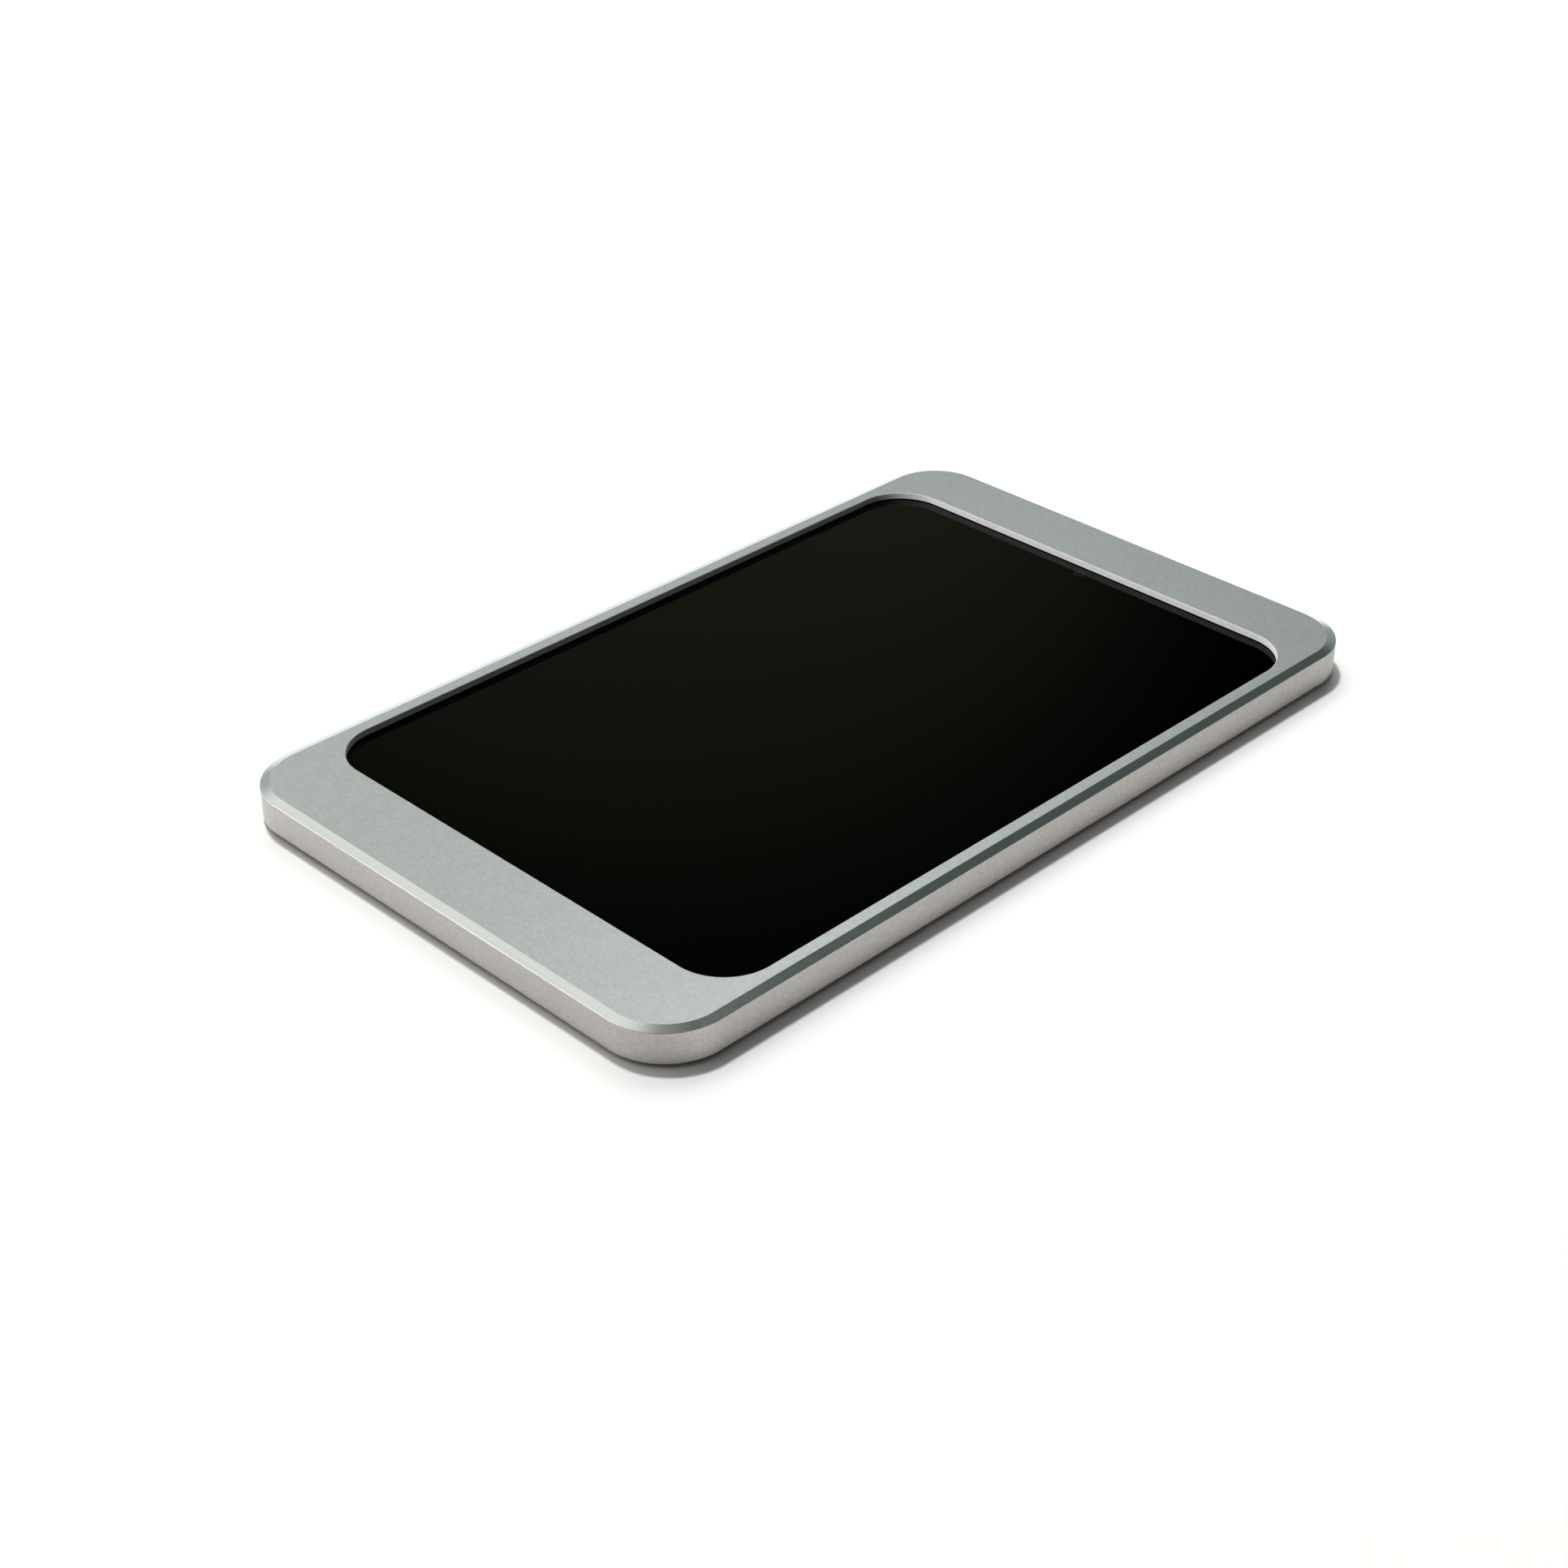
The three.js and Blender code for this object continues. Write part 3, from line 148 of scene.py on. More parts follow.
class Shape:
    """A mesh made of rings of points and the faces between them."""

    def __init__(self, place=None):
        self.bm = bmesh.new()
        self.place = place or Matrix.Identity(4)

    def ring(self, points, level):
        return [self.bm.verts.new(self.place @ Vector((x, y, level))) for x, y in points]

    def band(self, low, high, finish=0):
        for i, vert in enumerate(low):
            j = (i + 1) % len(low)
            face = self.bm.faces.new((vert, low[j], high[j], high[i]))
            face.material_index = finish

    def lid(self, ring, finish=0):
        self.bm.faces.new(ring).material_index = finish

    def fan(self, ring, tip, finish=0):
        for i, vert in enumerate(ring):
            face = self.bm.faces.new((vert, ring[(i + 1) % len(ring)], tip))
            face.material_index = finish

    def stack(self, rings, finish=0):
        """Closed solid through (points, level) rings."""
        made = [self.ring(points, level) for points, level in rings]
        for low, high in zip(made, made[1:]):
            self.band(low, high, finish)
        self.lid(made[0], finish)
        self.lid(made[-1], finish)

    def slab(self, half_x, half_y, radius, profile, centre=(0, 0), steps=ARC_STEPS):
        """Closed rounded slab whose edge follows (inset, level) points."""
        self.stack(
            [
                (outline(half_x - inset, half_y - inset, radius - inset, centre, steps), level)
                for inset, level in profile
            ]
        )

    def turn(self, centre, profile, finish=0, steps=ROUND_STEPS, lobes=0):
        """Solid turned round an upright axis through (radius, level) points.

        The points run from axis to axis, or back to the start. A third number
        in a point is how deep its lobes are.
        """
        rings = []
        for radius, level, *depth in profile:
            if radius == 0:
                rings.append(self.bm.verts.new(self.place @ Vector((*centre, level))))
                continue
            points = []
            for step in range(steps):
                angle = 2 * math.pi * step / steps
                reach = radius
                if depth:
                    reach += depth[0] * math.cos(lobes * angle)
                points.append(
                    (centre[0] + reach * math.cos(angle), centre[1] + reach * math.sin(angle))
                )
            rings.append(self.ring(points, level))
        for low, high in zip(rings, rings[1:]):
            if isinstance(low, bmesh.types.BMVert):
                self.fan(high, low, finish)
            elif isinstance(high, bmesh.types.BMVert):
                self.fan(low, high, finish)
            else:
                self.band(low, high, finish)
        if not isinstance(rings[0], bmesh.types.BMVert):
            self.band(rings[-1], rings[0], finish)

    def box(self, low, high, finish=0):
        corners = ((low[0], low[1]), (high[0], low[1]), (high[0], high[1]), (low[0], high[1]))
        self.stack([(corners, low[2]), (corners, high[2])], finish)

    def piece(self, name, *materials):
        bmesh.ops.remove_doubles(self.bm, verts=self.bm.verts, dist=WELD)
        bmesh.ops.recalc_face_normals(self.bm, faces=self.bm.faces)
        mesh = bpy.data.meshes.new(name)
        self.bm.to_mesh(mesh)
        self.bm.free()
        for material in materials:
            mesh.materials.append(material)
        made = bpy.data.objects.new(name, mesh)
        bpy.context.scene.collection.objects.link(made)
        return made


def settle(piece):
    """Applies the piece's modifiers to its mesh."""
    graph = bpy.context.evaluated_depsgraph_get()
    mesh = bpy.data.meshes.new_from_object(piece.evaluated_get(graph))
    piece.modifiers.clear()
    piece.data = mesh


def carve(piece, cutter, operation="DIFFERENCE"):
    """Cuts the cutter's solid out of the piece, or joins it on, and drops the cutter."""
    step = piece.modifiers.new("carve", "BOOLEAN")
    step.operation = operation
    step.solver = "EXACT"
    step.object = cutter
    settle(piece)
    bpy.data.objects.remove(cutter)


def polish(piece, sharp=38):
    """Smooth shading that stays flat on flat faces beside narrow rounded edges."""
    piece.data.polygons.foreach_set("use_smooth", [True] * len(piece.data.polygons))
    piece.data.set_sharp_from_angle(angle=math.radians(sharp))
    weighted = piece.modifiers.new("normals", "WEIGHTED_NORMAL")
    weighted.keep_sharp = True
    settle(piece)


def mount(piece, body, slot, *nodes):
    """The piece rides on its body and stands for those CAD nodes; the slot is not used."""
    polish(piece)
    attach(piece, body)
    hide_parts(*nodes)


def far_wall(x, z):
    """Local X along the far wall, Y up it and Z out of its outer face."""
    turn = Matrix(((1, 0, 0), (0, 0, 1), (0, 1, 0))).to_4x4()
    return Matrix.Translation((x, HALF_Y, z)) @ turn


def left_wall(y, z):
    """Local X along the left wall, Y up it and Z out of its outer face."""
    turn = Matrix(((0, 0, -1), (1, 0, 0), (0, 1, 0))).to_4x4()
    return Matrix.Translation((-HALF_X, y, z)) @ turn


# ---------------------------------------------------------------- material tools


def add_node(tree, kind, inputs=(), **settings):
    """A new node with its settings made and its inputs linked or set."""
    made = tree.nodes.new(kind)
    for key, value in settings.items():
        setattr(made, key, value)
    for key, value in dict(inputs).items():
        if isinstance(value, bpy.types.NodeSocket):
            tree.links.new(value, made.inputs[key])
        else:
            made.inputs[key].default_value = value
    return made


def add_blend(tree, share, first, second):
    """Colour between two colours, each a socket or three numbers."""
    first, second = (
        end if isinstance(end, bpy.types.NodeSocket) else (*end, 1) for end in (first, second)
    )
    inputs = {"Factor": share, 6: first, 7: second}
    return add_node(tree, "ShaderNodeMix", inputs, data_type="RGBA").outputs[2]


class Look:
    """A material with one Principled shader, and short names for the nodes that drive it."""

    def __init__(self, name, **constants):
        self.material = bpy.data.materials.new(name)
        self.material.use_nodes = True
        self.tree = self.material.node_tree
        self.shader = self.tree.nodes["Principled BSDF"]
        for socket, value in constants.items():
            self.shader.inputs[socket.replace("_", " ")].default_value = value
        self.place = self.node("ShaderNodeTexCoord").outputs["Object"]

    def node(self, kind, inputs=(), **settings):
        return add_node(self.tree, kind, inputs, **settings)

    def drive(self, socket, value):
        self.tree.links.new(value, self.shader.inputs[socket])

    def stretched(self, scale):
        """The place on the object with each axis scaled."""
        inputs = {0: self.place, 1: scale}
        return self.node("ShaderNodeVectorMath", inputs, operation="MULTIPLY").outputs[0]

    def away(self, low, high):
        """Distance from the upright axis through the middle of a box."""
        inputs = {0: self.stretched((1, 1, 0)), 1: (*((low + high) / 2).xy, 0)}
        return self.node("ShaderNodeVectorMath", inputs, operation="DISTANCE").outputs["Value"]

    def noise(self, scale, detail=2, roughness=0.5, vector=None, distortion=0):
        return self.node(
            "ShaderNodeTexNoise",
            {
                "Vector": vector or self.place,
                "Scale": scale,
                "Detail": detail,
                "Roughness": roughness,
                "Distortion": distortion,
            },
        ).outputs["Fac"]

    def cells(self, scale, feature="F1", randomness=1.0, output="Distance"):
        return self.node(
            "ShaderNodeTexVoronoi",
            {"Vector": self.place, "Scale": scale, "Randomness": randomness},
            feature=feature,
        ).outputs[output]

    def maths(self, operation, first, second=0.0, third=0.0):
        return self.node(
            "ShaderNodeMath", {0: first, 1: second, 2: third}, operation=operation
        ).outputs[0]

    def span(self, value, low, high, to_low=0.0, to_high=1.0):
        return self.node(
            "ShaderNodeMapRange",
            {
                "Value": value,
                "From Min": low,
                "From Max": high,
                "To Min": to_low,
                "To Max": to_high,
            },
        ).outputs["Result"]

    def blend(self, share, first, second):
        return add_blend(self.tree, share, first, second)

    def axes(self):
        split = self.node("ShaderNodeSeparateXYZ", {0: self.place})
        return split.outputs[0], split.outputs[1], split.outputs[2]

    def bump(self, height, distance, strength=1.0, under=None):
        inputs = {"Height": height, "Distance": distance, "Strength": strength}
        if under is not None:
            inputs["Normal"] = under
        return self.node("ShaderNodeBump", inputs).outputs[0]


def worked(name, dark, light, rough, metallic, broad, fine, dents):
    """A surface with broad tone variation, fine grain, worn patches, and roughness and bump to match."""
    look = Look(name, Metallic=metallic)
    tone = look.noise(broad, 4, 0.55, distortion=0.4)
    grain = look.noise(fine, 3, 0.6)
    worn = look.span(look.noise(broad * 3, 5, 0.65), 0.56, 0.72)
    colour = look.blend(look.span(tone, 0.3, 0.7), dark, light)
    darker = tuple(0.8 * channel for channel in dark)
    speckled = look.blend(look.span(grain, 0.35, 0.65, 0.0, 0.5), colour, darker)
    look.drive("Base Color", look.blend(look.maths("MULTIPLY", worn, 0.35), speckled, light))
    roughness = look.span(grain, 0.3, 0.7, rough - 0.05, rough + 0.06)
    look.drive("Roughness", look.maths("MULTIPLY_ADD", worn, -0.06, roughness))
    look.drive("Normal", look.bump(grain, dents, 0.8, look.bump(tone, dents * 2, 0.4)))
    return look.material


# ---------------------------------------------------------------- materials

BLASTED_DARK = (0.56, 0.59, 0.58)
BLASTED_LIGHT = (0.64, 0.67, 0.66)


def blasted(name, dark, light, rough, grain_depth, metallic=1.0):
    """Bead-blasted, anodised aluminium: fine pits, faint clouds, a few rubbed streaks."""
    look = Look(name, Metallic=metallic)
    pits = look.noise(2100, 3, 0.7)
    beads = look.cells(1900, "SMOOTH_F1")
    clouds = look.noise(38, 4, 0.6, distortion=0.6)
    rubs = look.noise(9, 5, 0.6, vector=look.stretched((1.0, 0.35, 1.0)))
    streaks = look.noise(1.0, 3, 0.6, vector=look.stretched((90.0, 1800.0, 1800.0)))
    grit = look.noise(950, 2, 0.6)
    tone = look.span(clouds, 0.3, 0.7, -0.15, 0.15)
    tone = look.maths("ADD", tone, look.span(pits, 0.35, 0.65, -1.1, 1.9))
    tone = look.maths("ADD", tone, look.span(streaks, 0.3, 0.7, -0.3, 0.3))
    tone = look.maths("ADD", tone, look.span(grit, 0.32, 0.68, -0.9, 0.9))
    look.drive("Base Color", look.blend(tone, dark, light))
    roughness = look.span(pits, 0.3, 0.7, rough - 0.05, rough + 0.05)
    roughness = look.maths("ADD", roughness, look.span(rubs, 0.35, 0.7, 0.02, -0.03))
    look.drive("Roughness", roughness)
    look.drive("Normal", look.bump(pits, grain_depth, 1.0, look.bump(beads, grain_depth, 0.6)))
    return look.material


def machined(name, dark, light, rough, lines, depth):
    """Aluminium cut after blasting: tool lines run along the edge, at one height all the way round."""
    look = Look(name, Metallic=1.0)
    trail = look.noise(1.0, 3, 0.6, vector=look.stretched((18.0, 18.0, lines)))
    pits = look.noise(2400, 3, 0.65)
    clouds = look.noise(55, 4, 0.6)
    tone = look.span(trail, 0.3, 0.7, 0.0, 0.7)
    tone = look.maths("ADD", tone, look.span(clouds, 0.3, 0.7, 0.0, 0.3))
    look.drive("Base Color", look.blend(tone, dark, light))
    roughness = look.span(pits, 0.3, 0.7, rough - 0.03, rough + 0.05)
    look.drive("Roughness", look.maths("ADD", roughness, look.span(clouds, 0.3, 0.7, -0.02, 0.02)))
    look.drive("Normal", look.bump(pits, depth, 0.8, look.bump(trail, depth, 0.7)))
    return look.material


housing_top = blasted("housing_blasted", BLASTED_DARK, BLASTED_LIGHT, 0.5, 7e-6, 0.65)
# The outer walls get a darker, warmer copy of the same blasted aluminium: painted shade.
housing_wall_painted_shade = blasted("housing_wall_painted_shade", (0.40, 0.39, 0.375), (0.46, 0.45, 0.435), 0.48, 7e-6, 0.9)
housing_cut = machined("housing_chamfer", (0.52, 0.54, 0.53), (0.60, 0.62, 0.61), 0.2, 9000.0, 2e-6)
# The inner edge of the opening gets a far lighter, almost matt copy of the same aluminium: painted light.
housing_rim_painted_light = blasted("housing_inner_edge_painted_light", (0.80, 0.79, 0.79), (0.88, 0.87, 0.87), 0.85, 7e-6, 0.1)
key_metal = blasted("key_blasted", (0.46, 0.455, 0.44), (0.53, 0.525, 0.51), 0.38, 5e-6)

# The housing's four finishes, and the face index of each. The wall and inner edge finishes are darker and
# lighter copies of the blasted top: painted shade and painted light.
HOUSING_METALS = (housing_top, housing_wall_painted_shade, housing_cut, housing_rim_painted_light)
ON_TOP, ON_WALL, ON_CHAMFER, ON_EDGE = range(4)


def glass_look():
    """Cover glass over black ink: the live area is a shade off the ink.

    The ink leaves windows for the camera and the light sensor.
    """
    look = Look("display_glass", IOR=1.5, Specular_IOR_Level=0.1)
    x, y, _ = look.axes()
    edge = 0.05 * MM
    centre_y = (panel_low.y + panel_high.y) / 2
    off_y = look.maths("ABSOLUTE", look.maths("SUBTRACT", y, centre_y))
    across = look.span(look.maths("ABSOLUTE", x), panel_high.x - edge, panel_high.x + edge, 1, 0)
    along = look.span(off_y, panel_high.y - centre_y - edge, panel_high.y - centre_y + edge, 1, 0)
    live = look.maths("MULTIPLY", across, along)

    camera = look.away(camera_low, camera_high)
    lens = look.span(camera, 0.85 * MM, 0.95 * MM, 1, 0)
    barrel = look.span(camera, 1.35 * MM, 1.45 * MM, 1, 0)
    sensor = look.span(look.away(sensor_low, sensor_high), 0.75 * MM, 0.85 * MM, 1, 0)
    smudge = look.noise(16, 5, 0.6, distortion=0.8)
    dust = look.span(look.cells(420), 0.035, 0.02, 0, 1)
    rare = look.span(look.cells(37, output="Color"), 0.93, 0.95, 0, 1)
    dust = look.maths("MULTIPLY", dust, rare)
    ink = look.blend(look.span(smudge, 0.3, 0.7), (0.0003, 0.0004, 0.0004), (0.0005, 0.0006, 0.0005))
    screen = look.blend(look.span(smudge, 0.3, 0.7), (0.0008, 0.0011, 0.0010), (0.0012, 0.0015, 0.0012))
    colour = look.blend(live, ink, screen)
    colour = look.blend(barrel, colour, (0.034, 0.035, 0.038))
    colour = look.blend(lens, colour, (0.006, 0.007, 0.012))
    colour = look.blend(sensor, colour, (0.008, 0.006, 0.010))
    look.drive("Base Color", look.blend(look.maths("MULTIPLY", dust, 0.5), colour, (0.05, 0.05, 0.045)))
    film = look.span(smudge, 0.35, 0.7, 0.035, 0.075)
    look.drive("Roughness", look.maths("MULTIPLY_ADD", dust, 0.3, film))
    ripple = look.noise(60, 2)
    look.drive("Normal", look.bump(ripple, 2e-7, 0.3, look.bump(dust, 4e-6)))
    return look.material


display_glass = glass_look()


def lens_look():
    """Coated lens under a clear window: rings of barrel, coating and dark pupil round the camera's axis."""
    look = Look("lens_glass", IOR=1.5)
    step = 0.22 * MM
    reach = look.away(window_low, window_high)
    haze = look.noise(300, 4, 0.6)
    rings = look.maths("PINGPONG", reach, step)
    barrel = look.blend(look.span(rings, 0, step), (0.010, 0.010, 0.011), (0.022, 0.022, 0.024))
    coating = look.blend(haze, (0.012, 0.008, 0.030), (0.006, 0.016, 0.034))
    colour = look.blend(look.span(reach, 1.7 * MM, 1.8 * MM), coating, barrel)
    colour = look.blend(look.span(reach, 0.6 * MM, 0.75 * MM), (0.002, 0.002, 0.003), colour)
    look.drive("Base Color", colour)
    look.drive("Roughness", look.span(haze, 0.3, 0.7, 0.03, 0.08))
    look.drive("Normal", look.bump(rings, 2e-5, 0.5))
    return look.material


lens_glass = lens_look()


def cover_look():
    """Moulded plastic cover: fine spark-eroded texture, slight mould flow, rubbed high spots."""
    look = Look("cover_plastic", Specular_IOR_Level=0.5)
    texture = look.noise(1700, 3, 0.6)
    pebbles = look.cells(1300, "SMOOTH_F1")
    flow = look.noise(14, 4, 0.55, distortion=1.0)
    rub = look.span(look.noise(48, 6, 0.7), 0.58, 0.74)
    colour = look.blend(look.span(flow, 0.3, 0.7), (0.030, 0.032, 0.034), (0.040, 0.042, 0.044))
    colour = look.blend(look.span(texture, 0.35, 0.65, 0, 0.4), colour, (0.020, 0.021, 0.022))
    look.drive("Base Color", look.blend(look.maths("MULTIPLY", rub, 0.3), colour, (0.07, 0.07, 0.07)))
    rough = look.span(pebbles, 0, 0.6, 0.5, 0.62)
    look.drive("Roughness", look.maths("MULTIPLY_ADD", rub, -0.12, rough))
    look.drive("Normal", look.bump(pebbles, 2.2e-5, 0.8, look.bump(texture, 1e-5, 0.6)))
    return look.material


cover_plastic = cover_look()


def rubber_look():
    look = Look("foot_rubber", Specular_IOR_Level=0.4)
    grain = look.noise(1500, 4, 0.7)
    dust = look.span(look.noise(240, 5, 0.7), 0.55, 0.75)
    colour = look.blend(look.span(grain, 0.3, 0.7), (0.010, 0.010, 0.010), (0.020, 0.020, 0.020))
    look.drive("Base Color", look.blend(look.maths("MULTIPLY", dust, 0.3), colour, (0.06, 0.057, 0.052)))
    look.drive("Roughness", look.span(grain, 0.3, 0.7, 0.72, 0.92))
    look.drive("Normal", look.bump(grain, 1.5e-5))
    return look.material


foot_rubber = rubber_look()


# Rings turned on a screw head are too fine to show, so its plating varies and its edges are rubbed.
screw_steel = worked(
    "screw_steel", (0.42, 0.42, 0.43), (0.62, 0.62, 0.63), 0.3, 1.0, 600, 3800, 4e-6
)
plated_steel = worked(
    "plated_steel", (0.50, 0.50, 0.49), (0.66, 0.66, 0.65), 0.3, 1.0, 180, 2600, 4e-6
)
black_plastic = worked(
    "black_plastic", (0.010, 0.010, 0.011), (0.022, 0.022, 0.024), 0.5, 0.0, 160, 2200, 8e-6
)
chip_package = worked(
    "chip_package", (0.012, 0.012, 0.013), (0.026, 0.026, 0.028), 0.48, 0.0, 220, 3000, 6e-6
)
gasket_foam = worked(
    "gasket_foam", (0.010, 0.010, 0.010), (0.026, 0.026, 0.026), 0.86, 0.0, 300, 2600, 3e-5
)
display_film = worked(
    "display_film", (0.020, 0.026, 0.030), (0.040, 0.048, 0.055), 0.2, 0.0, 30, 900, 1e-6
)
panel_glass = worked(
    "panel_glass", (0.006, 0.007, 0.008), (0.014, 0.016, 0.018), 0.14, 0.0, 26, 1200, 1e-6
)
backlight_plastic = worked(
    "backlight_plastic", (0.72, 0.72, 0.68), (0.84, 0.84, 0.81), 0.46, 0.0, 22, 1100, 5e-6
)
magnesium_frame = worked(
    "magnesium_frame", (0.24, 0.25, 0.26), (0.36, 0.37, 0.38), 0.52, 1.0, 34, 1300, 1.2e-5
)
graphite_film = worked(
    "graphite_film", (0.030, 0.031, 0.033), (0.065, 0.067, 0.070), 0.55, 0.2, 90, 1900, 8e-6
)
antenna_copper = worked(
    "antenna_copper", (0.62, 0.30, 0.17), (0.82, 0.45, 0.28), 0.32, 1.0, 90, 1800, 4e-6
)


def board_look():
    """Circuit board: traces under green solder mask, plated holes and solder specks."""
    look = Look("circuit_board", Specular_IOR_Level=0.5)
    bends = look.stretched((1.0, 1.0, 0.0))
    traces = look.node(
        "ShaderNodeTexWave",
        {"Vector": bends, "Scale": 260, "Distortion": 14, "Detail": 1, "Detail Scale": 0.6},
        bands_direction="DIAGONAL",
    ).outputs["Fac"]
    lines = look.span(traces, 0.62, 0.7)
    holes = look.span(look.cells(330), 0.22, 0.17)
    mask = look.noise(45, 4, 0.6)
    colour = look.blend(look.span(mask, 0.3, 0.7), (0.010, 0.050, 0.026), (0.016, 0.078, 0.040))
    colour = look.blend(look.maths("MULTIPLY", lines, 0.6), colour, (0.040, 0.150, 0.070))
    look.drive("Base Color", look.blend(holes, colour, (0.72, 0.62, 0.36)))
    look.drive("Metallic", look.maths("MULTIPLY", holes, 0.9))
    look.drive("Roughness", look.span(look.noise(900, 3), 0.3, 0.7, 0.32, 0.46))
    raised = look.maths("ADD", lines, holes)
    look.drive("Normal", look.bump(raised, 2e-5, 0.7))
    return look.material


circuit_board = board_look()


def flex_look():
    """Flexible circuit: copper tracks showing through amber film."""
    look = Look("flex_film", Specular_IOR_Level=0.5)
    x, _, _ = look.axes()
    tracks = look.span(look.maths("PINGPONG", x, 0.35 * MM), 0.12 * MM, 0.16 * MM)
    cloud = look.noise(120, 4, 0.6)
    film = look.blend(look.span(cloud, 0.3, 0.7), (0.28, 0.10, 0.018), (0.40, 0.17, 0.035))
    look.drive("Base Color", look.blend(tracks, film, (0.50, 0.25, 0.08)))
    look.drive("Roughness", look.span(cloud, 0.3, 0.7, 0.28, 0.42))
    look.drive("Normal", look.bump(tracks, 1.2e-5, 0.7, look.bump(look.noise(1600, 3), 4e-6)))
    return look.material


flex_film = flex_look()


def pouch_look():
    """Battery pouch: dark laminated foil with shallow wrinkles and a matt print coat."""
    look = Look("battery_pouch", Specular_IOR_Level=0.5)
    wrinkles = look.noise(70, 5, 0.6, vector=look.stretched((1.0, 0.4, 1.0)), distortion=1.2)
    grain = look.noise(1400, 3, 0.6)
    scuffs = look.span(look.noise(150, 6, 0.7), 0.6, 0.75)
    colour = look.blend(look.span(wrinkles, 0.3, 0.7), (0.018, 0.019, 0.020), (0.034, 0.035, 0.037))
    look.drive("Base Color", look.blend(look.maths("MULTIPLY", scuffs, 0.4), colour, (0.13, 0.13, 0.13)))
    look.drive("Metallic", look.span(wrinkles, 0.2, 0.8, 0.25, 0.4))
    look.drive("Roughness", look.span(grain, 0.3, 0.7, 0.42, 0.58))
    look.drive("Normal", look.bump(wrinkles, 1.5e-4, 0.5, look.bump(grain, 6e-6)))
    return look.material


battery_pouch = pouch_look()


def mesh_look():
    """Etched speaker mesh: rows of round holes through plated sheet."""
    look = Look("speaker_mesh_steel")
    holes = look.cells(2400, randomness=0.0)
    open_part = look.span(holes, 0.34, 0.28)
    cloud = look.noise(200, 4)
    colour = look.blend(look.span(cloud, 0.3, 0.7), (0.10, 0.10, 0.105), (0.15, 0.15, 0.155))
    look.drive("Base Color", look.blend(open_part, colour, (0.003, 0.003, 0.003)))
    look.drive("Metallic", look.maths("SUBTRACT", 1.0, open_part))
    look.drive("Roughness", look.span(cloud, 0.3, 0.7, 0.35, 0.5))
    look.drive("Normal", look.bump(open_part, -5e-5))
    return look.material


speaker_mesh = mesh_look()


# ---------------------------------------------------------------- housing

OUTER = (HALF_X, HALF_Y, CORNER_RADIUS, (0, 0))
opening_half_x = glass_high.x - GLASS_OVERLAP
opening_half_y = (glass_high.y - glass_low.y) / 2 - GLASS_OVERLAP
OPENING = (opening_half_x, opening_half_y, OPENING_RADIUS, (0, (glass_high.y + glass_low.y) / 2))
screw_spots = [spot_of(f"cover_screw_{number}") for number in range(1, 7)]
POST_SCREWS = 4  # the first screws go into the housing's corner posts
PORT_POSTS = [(side * 8.5 * MM, HALF_Y - WALL - 7.5 * MM) for side in (-1, 1)]


def ring_on(shape, sizes, inset, level):
    half_x, half_y, radius, centre = sizes
    return shape.ring(outline(half_x - inset, half_y - inset, radius - inset, centre), level)


def pill(half_x, half_y, grow, steps=12):
    return outline(half_x + grow, half_y + grow, half_y + grow - HAIR, steps=steps)


def wall_cutter(place, half_x, half_y, flare=0.12 * MM):
    """A hole through a side wall with a small break on its outer edge."""
    shape = Shape(place)
    clear = 0.5 * MM
    shape.stack(
        [
            (pill(half_x, half_y, 0), -WALL - clear),
            (pill(half_x, half_y, 0), -flare),
            (pill(half_x, half_y, flare), 0),
            (pill(half_x, half_y, flare + clear), clear),
        ],
        ON_EDGE,
    )
    return shape.piece("cutter", *HOUSING_METALS)


